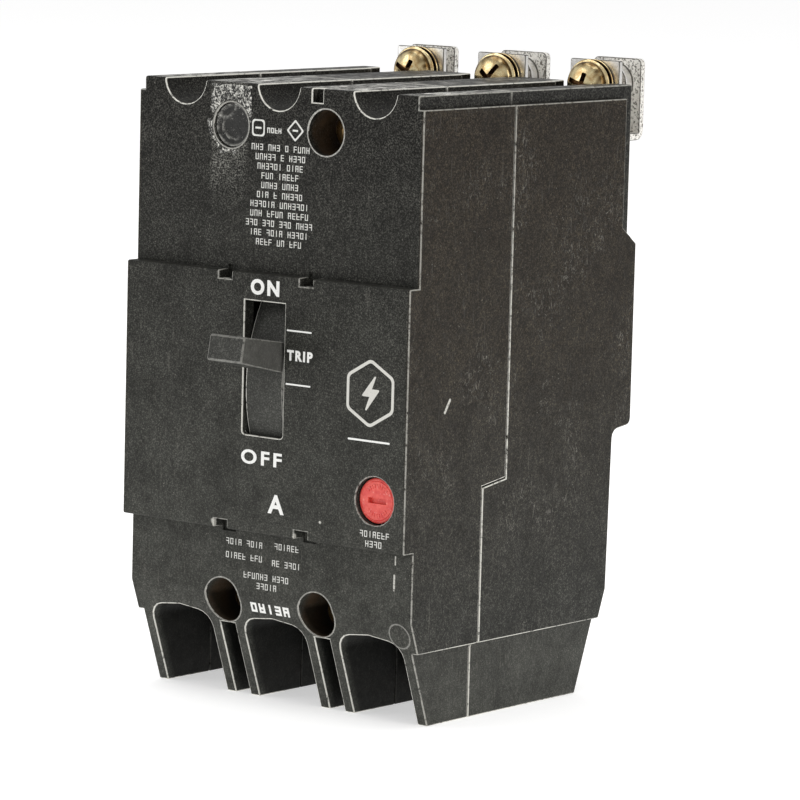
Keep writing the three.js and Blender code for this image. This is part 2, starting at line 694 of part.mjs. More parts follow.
function place(name, solid, finish, { x = 0, y = 0, z = 0, turn = 0 } = {}) {
  const mesh = new THREE.Mesh(geometryFrom(solid), new THREE.MeshStandardMaterial(FINISH[finish]));
  mesh.name = name;
  mesh.position.set(x, y, z);
  mesh.rotation.x = turn;
  breaker.add(mesh);
}

place('rear_base', rearBase(), 'phenolic');
place('front_cover', frontCover(), 'phenolic');
place('seal_wax', sealWax(), 'compound');

[[RIVET_TOP_Z, 11.7, 70.6], [RIVET_LOW_Z, 12.7, 64.8]].forEach(([z, frontY, rearY], row) => {
  BETWEEN_POLES.forEach((x, column) => {
    place(`case_rivet_${2 * row + column + 1}`, caseRivet(frontY, rearY), 'brass', { x, z });
  });
});

POLES.forEach((x, i) => {
  const pole = i + 1;
  const setBack = { x, y: SCREW_SET_Y[i] };
  place(`line_strap_${pole}`, lineStrap(), 'silver', { x });
  place(`line_screw_${pole}`, lineScrew(), 'brass', setBack);
  place(`lock_washer_${pole}`, washer(5.1, [76.25, 77.05], true), 'brass', setBack);
  place(`flat_washer_${pole}`, washer(5.4, [77.3, 77.95], false), 'brass', setBack);
  place(`clamp_plate_${pole}`, clampPlate(), 'silver', setBack);
  place(`arc_chute_${pole}`, arcChute(), 'fibre', { x });
  place(`load_strap_${pole}`, loadStrap(), 'copper', { x });
  place(`load_lug_${pole}`, loadLug(), 'aluminium', { x });
  place(`lug_screw_${pole}`, lugScrew(), 'steel', { x });
  place(`bimetal_${pole}`, bimetal(), 'copper', { x });
  place(`magnet_yoke_${pole}`, magnetYoke(), 'steel', { x });
  place(`braid_${pole}`, braid(), 'copper', { x });
  place(`contact_arm_${pole}`, contactArm(), 'copper', { x, y: CROSSBAR.y, z: CROSSBAR.z, turn: ARM_REST });
});

place('mechanism_frame', mechanismFrame(), 'steel');
place('handle', handle(), 'handle', { ...HANDLE_PIVOT, turn: -HANDLE_TILT });
place('handle_yoke', handleYoke(), 'steel', { ...HANDLE_PIVOT, turn: -HANDLE_TILT });
place('handle_pin', rodX({ y: 0, z: 0 }, HANDLE_PIN_R, [-9.6, 9.6], 16), 'steel', HANDLE_PIVOT);
place('drive_link', driveLink(), 'steel', { y: HANDLE_PIVOT.y, z: HANDLE_PIVOT.z + CRANK });
place('crossbar', crossbar(), 'fibre', { y: CROSSBAR.y, z: CROSSBAR.z, turn: ARM_REST });
place('cradle', cradle(), 'steel', CRADLE_PIVOT);
const crankPin = { y: HANDLE_PIVOT.y, z: HANDLE_PIVOT.z + CRANK };
const pull = Math.atan2(CRADLE_HOOK.z - crankPin.z, CRADLE_HOOK.y - crankPin.y);
const springStart = 2; // clear of the crank pin
place('mechanism_spring', coil(6, 1, 0.3, 12.4, 4, 8), 'steel', {
  x: -6,
  y: crankPin.y + springStart * Math.cos(pull),
  z: crankPin.z + springStart * Math.sin(pull),
  turn: pull,
});
place('cradle_pin', rodX({ y: 0, z: 0 }, 1.2, [-9.6, 9.6], 16), 'steel', CRADLE_PIVOT);

const buttonAt = { x: BUTTON.x, z: BUTTON.z };
place('trip_button', tripButton(), 'red', buttonAt);
place('button_spring', coil(4, 2.9, 0.4, 11.4), 'steel', { ...buttonAt, y: 5.35 });
place('trip_bar', tripBar(), 'fibre', TRIP_BAR);

// The origin moves to the bottom centre of the breaker's box.
breaker.position.y = -MID_Y;

const part = new THREE.Group();
part.add(breaker);

export default part;
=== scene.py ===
"""Looks of a three-pole bolt-on circuit breaker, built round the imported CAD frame. Row frame, metres."""

import math
from contextlib import contextmanager

import bmesh
import bpy
from mathutils import Matrix, Vector, noise


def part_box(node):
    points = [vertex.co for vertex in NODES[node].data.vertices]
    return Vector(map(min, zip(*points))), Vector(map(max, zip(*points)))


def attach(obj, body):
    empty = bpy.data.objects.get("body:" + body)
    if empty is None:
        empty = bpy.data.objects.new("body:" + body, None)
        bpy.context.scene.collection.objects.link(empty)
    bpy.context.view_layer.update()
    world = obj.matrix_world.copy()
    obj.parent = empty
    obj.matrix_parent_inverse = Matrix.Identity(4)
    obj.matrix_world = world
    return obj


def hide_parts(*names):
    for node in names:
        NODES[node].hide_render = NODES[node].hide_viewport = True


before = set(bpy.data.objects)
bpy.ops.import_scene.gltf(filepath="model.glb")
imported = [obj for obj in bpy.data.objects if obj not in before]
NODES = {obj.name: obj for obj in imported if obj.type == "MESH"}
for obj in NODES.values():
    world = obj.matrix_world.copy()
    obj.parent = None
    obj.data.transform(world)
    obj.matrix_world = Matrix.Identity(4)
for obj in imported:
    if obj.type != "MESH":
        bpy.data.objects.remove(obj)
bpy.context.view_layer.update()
MM = 0.001

# ---- places, in millimetres in the row frame
PANEL_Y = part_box("front_cover")[0].y / MM  # the raised panel round the handle
FACE_Y = PANEL_Y + 3.1  # the front above and below the panel
SIDE_X = 38.1  # the outer sides
FLANK_X = 36.0  # edges further out than this belong to the side walls
POLES = (-25.4, 0.0, 25.4)
BETWEEN_POLES = (-12.7, 12.7)
CASE_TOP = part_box("front_cover")[1].z / MM
CHAMBER_Y = (PANEL_Y + 3.0, PANEL_Y + 71.0)  # the hollow of each pole
CHAMBER_Z = (24.0, 121.0)
SEAM_Y = PANEL_Y + 33.6  # where the cover meets the base
SEAM_FOOT_Y = PANEL_Y + 25.6  # the same seam after its step forward
SEAM_STEP_Z = 50.0
SLOT_HALF = 6.0  # the handle's slot, with its edges
SLOT_Z = (56.0, 87.0)
SLANT_TOP_Z = 22.5  # the front leans back below this height
LEAN = 8.1 / 22.5  # how far back it goes for each millimetre down
RIVET_Z = (121.0, 21.1)
POCKET_R = 4.75
TROUGH_EDGE_Z = 123.0
SCREW_Z = 129.3
STRAP_FRONT_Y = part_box("line_strap_1")[1].y / MM - 1.6
COLLAR_R = 4.25
BUTTON_AT = (30.15, 47.25)

SCUFFS = (  # start, end and half width of the deeper scratches
    ((SIDE_X, PANEL_Y + 12.4, 65.2), (SIDE_X, PANEL_Y + 14.0, 67.6), 0.42),
    ((33.4, FACE_Y, 32.0), (33.4, FACE_Y, 29.0), 0.3),
    ((33.6, FACE_Y, 35.9), (33.6, FACE_Y, 34.3), 0.22),
    ((16.0, PANEL_Y, 41.3), (16.1, PANEL_Y, 41.2), 0.34),
    ((-12.9, PANEL_Y + 0.4, 38.3), (-12.2, PANEL_Y + 0.4, 37.3), 0.75),
    ((9.0, PANEL_Y + 0.4, 37.6), (9.6, PANEL_Y + 0.4, 37.3), 0.6),
    ((-11.6, PANEL_Y + 0.8, 89.5), (-10.6, PANEL_Y + 0.8, 89.4), 0.5),
    ((10.6, PANEL_Y + 0.8, 89.3), (12.3, PANEL_Y + 0.8, 89.4), 0.45),
)

WORN = 0.24  # width of a worn moulded edge
FINE = 0.15  # width of a deburred metal edge
INNER_EDGE = 0.12  # width of a rounded edge inside the case
INK = 0.05  # how far the marking stands off the moulding
SUNK = 0.01  # how far its back is sunk into it

# ---- colours of dirt and wear, and of painted light and shade
# painted warm light: the brown laid on the upper flanks stands in for warm light falling on the sides
FLANK_WARM_LIGHT = (0.0085, 0.006, 0.0038)
# dust, and painted light: the pale colour that grows towards the foot
DUST_AND_LOW_LIGHT = (0.16, 0.165, 0.145)
RUBBED = (0.22, 0.21, 0.185)
COMPOUND_DUST = (0.30, 0.295, 0.265)
RUST = (0.095, 0.06, 0.035)
# painted glint of the brass rivets, down one side of the pockets
RIVET_GLINT = (0.80, 0.70, 0.46)
# scrapes, and a painted sheen on the flat tops
SCRAPES_AND_SHEEN = (0.45, 0.44, 0.40)
CHIPPED = (0.82, 0.81, 0.76)
SCRATCH = (0.60, 0.59, 0.54)
SHADE = (0.003, 0.003, 0.003)
# painted light: the pale colour laid on faces that look to the right
RIGHT_FACE_LIGHT = (0.16, 0.158, 0.146)
WORN_EDGE = (0.72, 0.71, 0.65)


# ---- shader nodes
class Finish:
    """A node material in the making. A method that adds nodes returns the socket of its result."""

    def __init__(self, name):
        self.material = bpy.data.materials.new(name)
        self.material.use_nodes = True
        self.tree = self.material.node_tree
        self.surface = self.tree.nodes["Principled BSDF"]
        place = self.tree.nodes.new("ShaderNodeTexCoord").outputs["Object"]
        self.place = self.scaled(place, 1 / MM)
        self.side, self.back, self.height = self.parts(self.place)

    def feed(self, socket, value):
        if isinstance(value, bpy.types.NodeSocket):
            self.tree.links.new(value, socket)
        else:
            socket.default_value = value

    def add(self, kind, output, **settings):
        """One node. Capitalised settings feed its inputs, and the rest are its properties."""
        node = self.tree.nodes.new(kind)
        for key, value in settings.items():
            if key[0].islower():
                setattr(node, key, value)
        for key, value in settings.items():
            if key[0].isupper():
                self.feed(node.inputs[key.replace("_", " ")], value)
        return node.outputs[output]

    def worked(self, kind, operation, output, *values):
        """A node that does sums, its inputs fed in order."""
        node = self.tree.nodes.new(kind)
        node.operation = operation
        for socket, value in zip(node.inputs, values):
            self.feed(socket, value)
        return node.outputs[output]

    def times(self, result, *others):
        for other in others:
            result = self.worked("ShaderNodeMath", "MULTIPLY", "Value", result, other)
        return result

    def plus(self, result, *others):
        for other in others:
            result = self.worked("ShaderNodeMath", "ADD", "Value", result, other)
        return result

    def apart(self, value):
        """How far a value is from nought."""
        return self.worked("ShaderNodeMath", "ABSOLUTE", "Value", value)

    def distance(self, a, b):
        return self.worked("ShaderNodeVectorMath", "DISTANCE", "Value", a, b)

    def scaled(self, vector, scale):
        return self.add("ShaderNodeVectorMath", "Vector", operation="SCALE", Vector=vector, Scale=scale)

    def parts(self, vector):
        split = self.tree.nodes.new("ShaderNodeSeparateXYZ")
        self.feed(split.inputs[0], vector)
        return list(split.outputs)

    def between(self, value, low, high, start=0.0, end=1.0):
        """Value carried from the range low..high to start..end, and held there."""
        return self.add("ShaderNodeMapRange", "Result", Value=value, From_Min=low, From_Max=high,
                        To_Min=start, To_Max=end)

    def mix(self, share, a, b):
        """Colour a, turning to colour b as share goes from 0 to 1."""
        node = self.tree.nodes.new("ShaderNodeMix")
        node.data_type = "RGBA"
        self.feed(node.inputs[0], share)
        for slot, colour in ((6, a), (7, b)):
            self.feed(node.inputs[slot], colour if isinstance(colour, bpy.types.NodeSocket) else (*colour, 1))
        return node.outputs[2]

    def mapped(self, stretch):
        return self.add("ShaderNodeMapping", "Vector", Vector=self.place, Scale=stretch)

    def noise(self, per_mm, detail=3.0, rough=0.55, stretch=(1, 1, 1), warp=0.0):
        return self.add("ShaderNodeTexNoise", "Fac", Vector=self.mapped(stretch), Scale=per_mm,
                        Detail=detail, Roughness=rough, Distortion=warp)

    def patches(self, per_mm, low, high, start=0.0, end=1.0, **kind):
        """Noise carried from the range low..high to start..end, and held there."""
        return self.between(self.noise(per_mm, **kind), low, high, start, end)

    def cells(self, per_mm):
        return self.add("ShaderNodeTexVoronoi", "Distance", Vector=self.mapped((1, 1, 1)), Scale=per_mm)

    def facing(self, axis, low, high):
        """1 where the surface looks along an axis (0 is X, 2 is up), 0 where it looks elsewhere."""
        normal = self.tree.nodes.new("ShaderNodeTexCoord").outputs["Normal"]
        return self.between(self.parts(normal)[axis], low, high)

    def scuff(self, start, end, half):
        """A scratch from one place to another, half wide each way, in millimetres."""
        run = Vector(end) - Vector(start)
        offset = self.worked("ShaderNodeVectorMath", "SUBTRACT", "Vector", self.place, start)
        along = self.worked("ShaderNodeVectorMath", "DOT_PRODUCT", "Value", offset, run / run.length_squared)
        nearest = self.scaled(run, self.between(along, 0, 1))
        return self.between(self.distance(offset, nearest), half, half * 0.5)

    def near_line(self, x, z, reach, fade):
        """1 within reach of the line through (x, z) along Y."""
        across = self.add("ShaderNodeCombineXYZ", "Vector", X=self.side, Y=0.0, Z=self.height)
        return self.between(self.distance(across, (x, 0, z)), reach + fade, reach)

    def attribute(self, name):
        return self.add("ShaderNodeAttribute", "Fac", attribute_name=name)

    def done(self, colour, roughness, relief=None, depth=0.02, strength=1.0, **values):
        """Feeds the surface. Relief is a height from 0 to 1, depth its size in millimetres."""
        self.feed(self.surface.inputs["Base Color"], colour)
        self.feed(self.surface.inputs["Roughness"], roughness)
        for key, value in values.items():
            self.feed(self.surface.inputs[key.replace("_", " ")], value)
        if relief is not None:
            bump = self.add("ShaderNodeBump", "Normal", Height=relief, Distance=depth * MM, Strength=strength)
            self.feed(self.surface.inputs["Normal"], bump)
        return self.material


# ---- dark moulding compound
def moulded(f, fine, flank, dark, fleck):
    """Mineral flecks in a cloudy ground, with painted warm light high on the flanks, paler towards the foot
    from dust and painted light.
    """
    cloud = f.times(
        f.patches(0.14, 0.34, 0.66, 0.62, 1.26, detail=5, rough=0.7),
        f.patches(0.9, 0.34, 0.66, 0.75, 1.22, detail=3, rough=0.7),
    )
    # painted warm light: brown on the flanks, growing with height
    painted_warmth = f.times(flank, f.between(f.height, 20, 75))
    ground = f.mix(f.times(painted_warmth, 0.85), dark, FLANK_WARM_LIGHT)
    warm_fleck = (fleck[0] * 0.82, fleck[1] * 0.66, fleck[2] * 0.50)
    flecked = f.times(f.between(fine, 0.50, 0.63), cloud)
    colour = f.mix(flecked, ground, f.mix(painted_warmth, fleck, warm_fleck))
    # paler towards the foot: dust, and painted light that grows lower down
    dust_and_low_light = f.times(f.between(f.height, 125, 5), cloud, f.between(flank, 0, 1, 0.27, 0.12))
    return f.mix(dust_and_low_light, colour, DUST_AND_LOW_LIGHT)


def handling_marks(f, flank, colour):
    """Pale specks, upright rub marks and, mostly on the flanks, fine winding scratches."""
    specks = f.times(f.between(f.cells(0.75), 0.12, 0.05), f.patches(0.13, 0.46, 0.58))
    rubs = f.times(
        f.patches(0.9, 0.60, 0.74, detail=4, stretch=(2.2, 2.2, 0.22), warp=0.4),
        f.patches(0.05, 0.44, 0.60, detail=2),
    )
    winding = f.noise(0.55, detail=3, rough=0.6, stretch=(1, 1, 0.45), warp=1.2)
    hairs = f.times(
        f.between(f.apart(f.plus(winding, -0.5)), 0.015, 0.005),
        f.patches(0.06, 0.49, 0.60, detail=3),
        f.patches(0.7, 0.44, 0.54, detail=2),
    )
    hairs = f.times(hairs, f.between(flank, 0, 1, 0.2, 0.6))
    return f.mix(f.plus(f.times(specks, 0.8), f.times(rubs, 0.25), hairs), colour, RUBBED)


def compound_dust(f, fine, colour):
    """Compound rubbed on the front above, round and below the filled pocket."""
    across = f.times(f.between(f.side, -18.6, -17.4), f.between(f.side, -8.0, -9.2))
    front = f.between(f.back, FACE_Y + 0.6, FACE_Y + 0.4)
    rubbed = f.times(across, f.between(f.height, 104, 114), front,
                     f.patches(0.35, 0.35, 0.6, 0.35, 1, detail=4))
    return f.mix(f.times(f.between(fine, 0.50, 0.58), rubbed), colour, COMPOUND_DUST)


def pocket_wall(f, shift, reach, fade):
    """1 near the walls of the round rivet pockets, behind the face."""
    near = [f.near_line(x + shift, z, reach, fade) for x in BETWEEN_POLES for z in RIVET_Z]
    deep = f.times(f.between(f.back, FACE_Y + 0.9, FACE_Y + 2.5), f.between(f.back, FACE_Y + 30, FACE_Y + 25))
    return f.times(f.plus(*near), deep)


def pocket_rust_and_glint(f, colour):
    """Rust all round in the pockets, and a painted glint of the brass rivet down one side of them."""
    rust = f.times(pocket_wall(f, 0, POCKET_R + 0.05, 0.1), f.patches(0.3, 0.3, 0.7, 0.3, 1, detail=3))
    # painted glint: pale brass flecks down one side of each open pocket, standing in for the rivet catching
    # the light
    rivet_glint = f.times(pocket_wall(f, 4.4, 0.9, 1.3), f.patches(1.5, 0.46, 0.54, detail=3, rough=0.8))
    colour = f.mix(f.times(rust, 0.8), colour, RUST)
    return f.mix(f.times(rivet_glint, 0.9), colour, RIVET_GLINT)


def scraped_and_sheened_top(f, colour):
    """Scrapes and a painted sheen on the flat tops between the troughs, and chips dragged along their front
    half.
    """
    top = f.times(f.facing(2, 0.985, 0.995), f.between(f.height, CASE_TOP - 0.6, CASE_TOP - 0.4))
    # scrapes, and a painted sheen: pale patches over the up-facing tops
    scrapes_and_sheen = f.patches(0.45, 0.52, 0.62, detail=6, rough=0.85, stretch=(0.5, 1, 1))
    chipped = f.patches(0.9, 0.52, 0.56, detail=4, rough=0.7, stretch=(1, 0.16, 1))
    chipped = f.times(chipped, f.between(f.back, FACE_Y + 36, FACE_Y + 16))
    colour = f.mix(f.times(top, scrapes_and_sheen, 0.8), colour, SCRAPES_AND_SHEEN)
    return f.mix(f.times(top, chipped), colour, CHIPPED)


def scuffed(f, colour):
    broken = f.patches(1.8, 0.36, 0.5, detail=3, rough=0.7)
    for start, end, half in SCUFFS:
        colour = f.mix(f.times(f.scuff(start, end, half), broken), colour, SCRATCH)
    return colour


def shaded_bays(f, colour):
    """Painted shade inside the arches over the lugs."""
    front = f.plus(FACE_Y + LEAN * SLANT_TOP_Z, f.times(f.height, -LEAN))
    behind_front = f.between(f.plus(f.back, f.times(front, -1.0)), 0.7, 2.5)
    below = f.between(f.height, SLANT_TOP_Z, SLANT_TOP_Z - 1)
    inner = f.between(f.apart(f.side), 35.2, 34.4)
    ahead_of_rear = f.between(f.back, PANEL_Y + 60, PANEL_Y + 55)
    return f.mix(f.times(behind_front, below, inner, ahead_of_rear, 0.75), colour, SHADE)


def phenolic(name, dark, fleck, edge_wear=0.0, right_face_light=0.0):
    """Dark moulding compound, with the dirt, scratches and wear that have reached it, and painted light and
    shade: warm light on the flanks, light towards the foot, a sheen on the tops, a rivet glint in the
    pockets, shade in the lug arches and, where a share is given, light on faces that look right.
    """
    f = Finish(name)
    fine = f.noise(2.9, detail=4, rough=0.85)
    flank = f.between(f.apart(f.side), SIDE_X - 0.7, SIDE_X - 0.2)
    colour = moulded(f, fine, flank, dark, fleck)
    colour = handling_marks(f, flank, colour)
    colour = compound_dust(f, fine, colour)
    colour = pocket_rust_and_glint(f, colour)
    colour = scraped_and_sheened_top(f, colour)
    colour = scuffed(f, colour)
    colour = shaded_bays(f, colour)
    if right_face_light:
        # painted light: faces that look to the right are made paler, as if lit from that side
        lit_right_face = f.times(f.facing(0, 0.85, 0.98), f.patches(0.5, 0.3, 0.7, 0.5, 1.0, detail=4))
        colour = f.mix(f.times(lit_right_face, right_face_light), colour, RIGHT_FACE_LIGHT)
    if edge_wear:
        broken = f.patches(0.9, 0.34, 0.5, detail=4, rough=0.75)
        colour = f.mix(f.times(broken, f.attribute("wear"), edge_wear), colour, WORN_EDGE)
    roughness = f.patches(0.4, 0.3, 0.7, 0.34, 0.52, detail=4)
    relief = f.plus(f.times(fine, 0.8), f.times(f.noise(0.8), 0.6))
    return f.done(colour, roughness, relief, depth=0.05, strength=0.7, Specular_IOR_Level=0.12,
                  Specular_Tint=(1, 0.98, 0.94, 1))


# ---- other finishes
def compound(name, least, most):
    """Sealing compound: near black and crusted, with pale flecks caught in it and a painted highlight along
    its crests. Less is paler.
    """
    f = Finish(name)
    flecks_and_highlight = f.patches(1.5, least, most, detail=4, rough=0.85, warp=0.6)
    broken = f.patches(1.2, 0.38, 0.6, detail=3, rough=0.7)
    # painted highlight: the crests of the filled pocket's ridges are made pale
    flecks_and_highlight = f.plus(flecks_and_highlight, f.times(f.attribute("crest"), broken, 0.6))
    crust = f.noise(0.9, detail=5, rough=0.7)
    colour = f.mix(flecks_and_highlight, f.mix(crust, (0.006, 0.006, 0.0055), (0.024, 0.0235, 0.021)), (0.78, 0.77, 0.71))
    return f.done(colour, f.between(crust, 0.2, 0.8, 0.5, 0.85), f.plus(crust, flecks_and_highlight), depth=0.12)


def darker(colour, share):
    return [part * share for part in colour]


def metal(name, colour, tarnish, roughness, patches=0.16, tarnished=0.6, stretch=(1, 1, 1), pits=0.3,
          grain=0.0, metallic=1.0):
    """Bare or plated metal: stained in patches, with fine tooling lines and shallow pits, and darkened per
    vertex by grime and painted shade.
    """
    f = Finish(name)
    stain = f.patches(patches, 0.42, 0.64, detail=6, rough=0.7, warp=0.8)
    lines = f.noise(3.0, stretch=stretch)
    pit = f.between(f.cells(1.3), 0.18, 0.08)
    shade = f.mix(f.times(stain, tarnished), colour, tarnish)
    shade = f.mix(f.times(pit, pits), shade, darker(tarnish, 0.35))
    if grain:
        speckle = f.patches(1.7, 0.53, 0.58, detail=3, rough=0.8)
        shade = f.mix(f.times(speckle, grain), shade, darker(tarnish, 0.25))
    # darker where the per-vertex attribute says: tarnish, and painted shade and dark reflection
    shade = f.mix(f.attribute("grime_and_shade"), shade, darker(tarnish, 0.2))
    rough = f.plus(f.times(stain, 0.18), f.between(lines, 0.3, 0.7, roughness - 0.06, roughness + 0.08))
    relief = f.plus(f.times(lines, 0.5), f.times(pit, -0.5))
    return f.done(shade, rough, relief, depth=0.012, strength=0.6, Metallic=metallic)


def fibre():
    """Red-brown pressed fibre sheet and moulded bar."""
    f = Finish("red_fibre")
    strands = f.noise(1.6, detail=4, stretch=(0.4, 2.4, 2.4))
    colour = f.mix(f.between(strands, 0.3, 0.7), (0.20, 0.035, 0.022), (0.34, 0.085, 0.05))
    return f.done(colour, f.between(strands, 0.3, 0.7, 0.6, 0.8), strands, depth=0.05)


def red_plastic():
    """The trip button: bright red, lightly rubbed."""
    f = Finish("red_button")
    mottle = f.noise(0.9, detail=4)
    colour = f.mix(f.between(mottle, 0.35, 0.68), (0.70, 0.055, 0.048), (0.84, 0.13, 0.10))
    colour = f.mix(f.patches(2.2, 0.62, 0.72, 0, 0.5, detail=2), colour, (0.86, 0.36, 0.32))
    return f.done(colour, f.between(mottle, 0.3, 0.7, 0.3, 0.45), mottle, depth=0.03, strength=0.5)


def ink(name, colour, worn=0.5):
    """Screened marking ink, thin in places so that the moulding shows through."""
    f = Finish(name)
    thin = f.patches(2.4, 0.60, 0.74, detail=3, rough=0.7)
    shade = f.mix(f.times(thin, worn), colour, (0.10, 0.10, 0.09))
    return f.done(shade, f.between(thin, 0, 1, 0.5, 0.65), thin, depth=0.01, strength=0.4)


MAT = {
    "case": phenolic("case_phenolic", (0.0034, 0.0033, 0.0028), (0.102, 0.100, 0.088)),
    "case_edge": phenolic("case_phenolic_edge", (0.012, 0.0116, 0.010), (0.12, 0.118, 0.104), edge_wear=0.95),
    # the handle gets painted light on its right-facing faces
    "handle": phenolic("handle_phenolic", (0.022, 0.022, 0.0205), (0.115, 0.115, 0.105), right_face_light=0.45),
    "handle_edge": phenolic("handle_edge", (0.04, 0.04, 0.037), (0.15, 0.15, 0.14), edge_wear=0.9),
    "ring": phenolic("case_phenolic_rubbed", (0.22, 0.217, 0.20), (0.42, 0.415, 0.39)),
    "flash": phenolic("moulding_flash", (0.32, 0.315, 0.29), (0.80, 0.79, 0.74)),
    "compound": compound("sealing_compound", 0.61, 0.68),
    "crust": compound("compound_crust", 0.49, 0.55),
    "brass": metal("brass", (1.0, 0.85, 0.50), (0.52, 0.30, 0.10), 0.17, patches=0.42, tarnished=0.85),
    # darker brass for recesses and crevices: tarnish and painted shade
    "brass_shade_and_tarnish": metal("brass_recess_shade_and_tarnish", (0.22, 0.12, 0.05), (0.05, 0.025, 0.012), 0.42, patches=0.5,
                        tarnished=0.9),
    "rivet": metal("rivet_brass", (0.62, 0.42, 0.18), (0.14, 0.08, 0.03), 0.30, patches=0.4, tarnished=0.8),
    "silver_edge": metal("silver_plate_edge", (0.13, 0.126, 0.115), (0.07, 0.065, 0.055), 0.45, patches=0.9,
                         tarnished=0.8),
    "silver": metal("silver_plate", (0.98, 0.96, 0.91), (0.66, 0.62, 0.53), 0.36, stretch=(1, 1, 0.5),
                    patches=1.6, tarnished=0.3, pits=1.0, grain=1.0, metallic=0.5),
    "plate": metal("bright_plate", (0.98, 0.97, 0.95), (0.72, 0.69, 0.63), 0.32, patches=1.2, tarnished=0.7),
    "copper": metal("copper", (0.80, 0.40, 0.25), (0.36, 0.15, 0.09), 0.30, stretch=(1, 1, 0.1)),
    "steel": metal("steel", (0.48, 0.48, 0.49), (0.26, 0.24, 0.21), 0.34, stretch=(1, 0.1, 1)),
    "aluminium": metal("lug_aluminium", (0.66, 0.67, 0.68), (0.42, 0.42, 0.42), 0.38, stretch=(0.2, 1, 1)),
    "fibre": fibre(),
    "red": red_plastic(),
    "ink": ink("marking_ink", (0.90, 0.90, 0.87)),
    "small_ink": ink("small_print_ink", (0.74, 0.74, 0.70), worn=0.6),
    "emblem": ink("emblem_ink", (0.66, 0.65, 0.60), worn=0.35),
}


# ---- mesh tools
WELD = 0.002  # points nearer than this are one
FLAT_ANGLE = math.radians(0.6)  # facets that turn less than this are one face
EDGE_ANGLE = math.radians(34)  # edges that turn more than this are worn or deburred


def new_object(name, mesh, material):
    obj = bpy.data.objects.new(name, mesh)
    bpy.context.scene.collection.objects.link(obj)
    if material:
        mesh.materials.append(MAT[material])
    return obj


def smooth(mesh, angle=32):
    mesh.polygons.foreach_set("use_smooth", [True] * len(mesh.polygons))
    mesh.set_sharp_from_angle(angle=math.radians(angle))
    mesh.update()


def piece(name, mesh, material, body="case", replaces=()):
    """A mesh in the row frame, as a piece that rides on a body."""
    obj = new_object(name, mesh, material)
    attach(obj, body)
    if replaces:
        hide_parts(*replaces)
    return obj


@contextmanager
def edited(mesh):
    """Opens a mesh for bmesh work, and writes it back at the end."""
    form = bmesh.new()
    form.from_mesh(mesh)
    yield form
    form.to_mesh(mesh)
    form.free()


def mesh_from(name, points, faces):
    """A mesh from points in millimetres, its faces turned outwards."""
    mesh = bpy.data.meshes.new(name)
    mesh.from_pydata([Vector(p) * MM for p in points], [], faces)
    with edited(mesh) as form:
        bmesh.ops.recalc_face_normals(form, faces=form.faces)
    return mesh


def joined(name, meshes):
    """Several meshes as one."""
    form = bmesh.new()
    for mesh in meshes:
        form.from_mesh(mesh)
        bpy.data.meshes.remove(mesh)
    whole = bpy.data.meshes.new(name)
    form.to_mesh(whole)
    form.free()
    return whole


def filleted(corners, steps=4):
    """An outline from corners (u, v) or (u, v, radius)."""
    points = []
    for i, corner in enumerate(corners):
        here = Vector(corner[:2])
        radius = corner[2] if len(corner) > 2 else 0
        if not radius:
            points.append(tuple(here))
            continue
        back = (Vector(corners[i - 1][:2]) - here).normalized()
        on = (Vector(corners[(i + 1) % len(corners)][:2]) - here).normalized()
        half = back.angle(on) / 2
        start = here + back * radius / math.tan(half)
        end = here + on * radius / math.tan(half)
        centre = here + (back + on).normalized() * radius / math.sin(half)
        first = math.atan2(*(start - centre).yx)
        turn = (math.atan2(*(end - centre).yx) - first + math.pi) % (2 * math.pi) - math.pi
        for k in range(steps + 1):
            a = first + turn * k / steps
            points.append((centre.x + radius * math.cos(a), centre.y + radius * math.sin(a)))
    return points


def oblong(x0, x1, z0, z1, radius, steps=4):
    """A rectangle's outline with rounded corners."""
    return filleted([(x0, z0, radius), (x1, z0, radius), (x1, z1, radius), (x0, z1, radius)], steps)


def turned(name, profile, x, z, sides=72, loop=False):
    """A piece turned round the line through (x, z) along Y, from (radius, y) points."""
    points, rings = [], []
    for radius, y in profile:
        if radius < 1e-6:
            rings.append([len(points)] * sides)
            points.append((x, y, z))
            continue
        rings.append(list(range(len(points), len(points) + sides)))
        for k in range(sides):
            a = 2 * math.pi * k / sides
            points.append((x + radius * math.cos(a), y, z + radius * math.sin(a)))
    faces = []
    pairs = list(zip(rings, rings[1:] + rings[:1]))
    for inner, outer in pairs if loop else pairs[:-1]:
        for k in range(sides):
            n = (k + 1) % sides
            face = list(dict.fromkeys((inner[k], inner[n], outer[n], outer[k])))
            if len(face) > 2:
                faces.append(face)
    mesh = mesh_from(name, points, faces)
    smooth(mesh)
    return mesh


def prism(name, outline, y0, y1):
    """An (x, z) outline carried from y0 to y1."""
    count = len(outline)
    points = [(u, y, v) for y in (y0, y1) for u, v in outline]
    faces = [list(range(count)), list(range(count, 2 * count))]
    faces += [(k, (k + 1) % count, count + (k + 1) % count, count + k) for k in range(count)]
    return mesh_from(name, points, faces)


def band(name, outer, inner, y0, y1):
    """A closed frame between two outlines with as many points as each other."""
    count = len(outer)
    points = [(u, y, v) for y in (y0, y1) for ring in (outer, inner) for u, v in ring]
    faces = []
    for k in range(count):
        n = (k + 1) % count
        a, b, c, d = 0, count, 2 * count, 3 * count
        faces += [(a + k, a + n, b + n, b + k), (c + k, c + n, d + n, d + k)]
        faces += [(a + k, a + n, c + n, c + k), (b + k, b + n, d + n, d + k)]
    return mesh_from(name, points, faces)


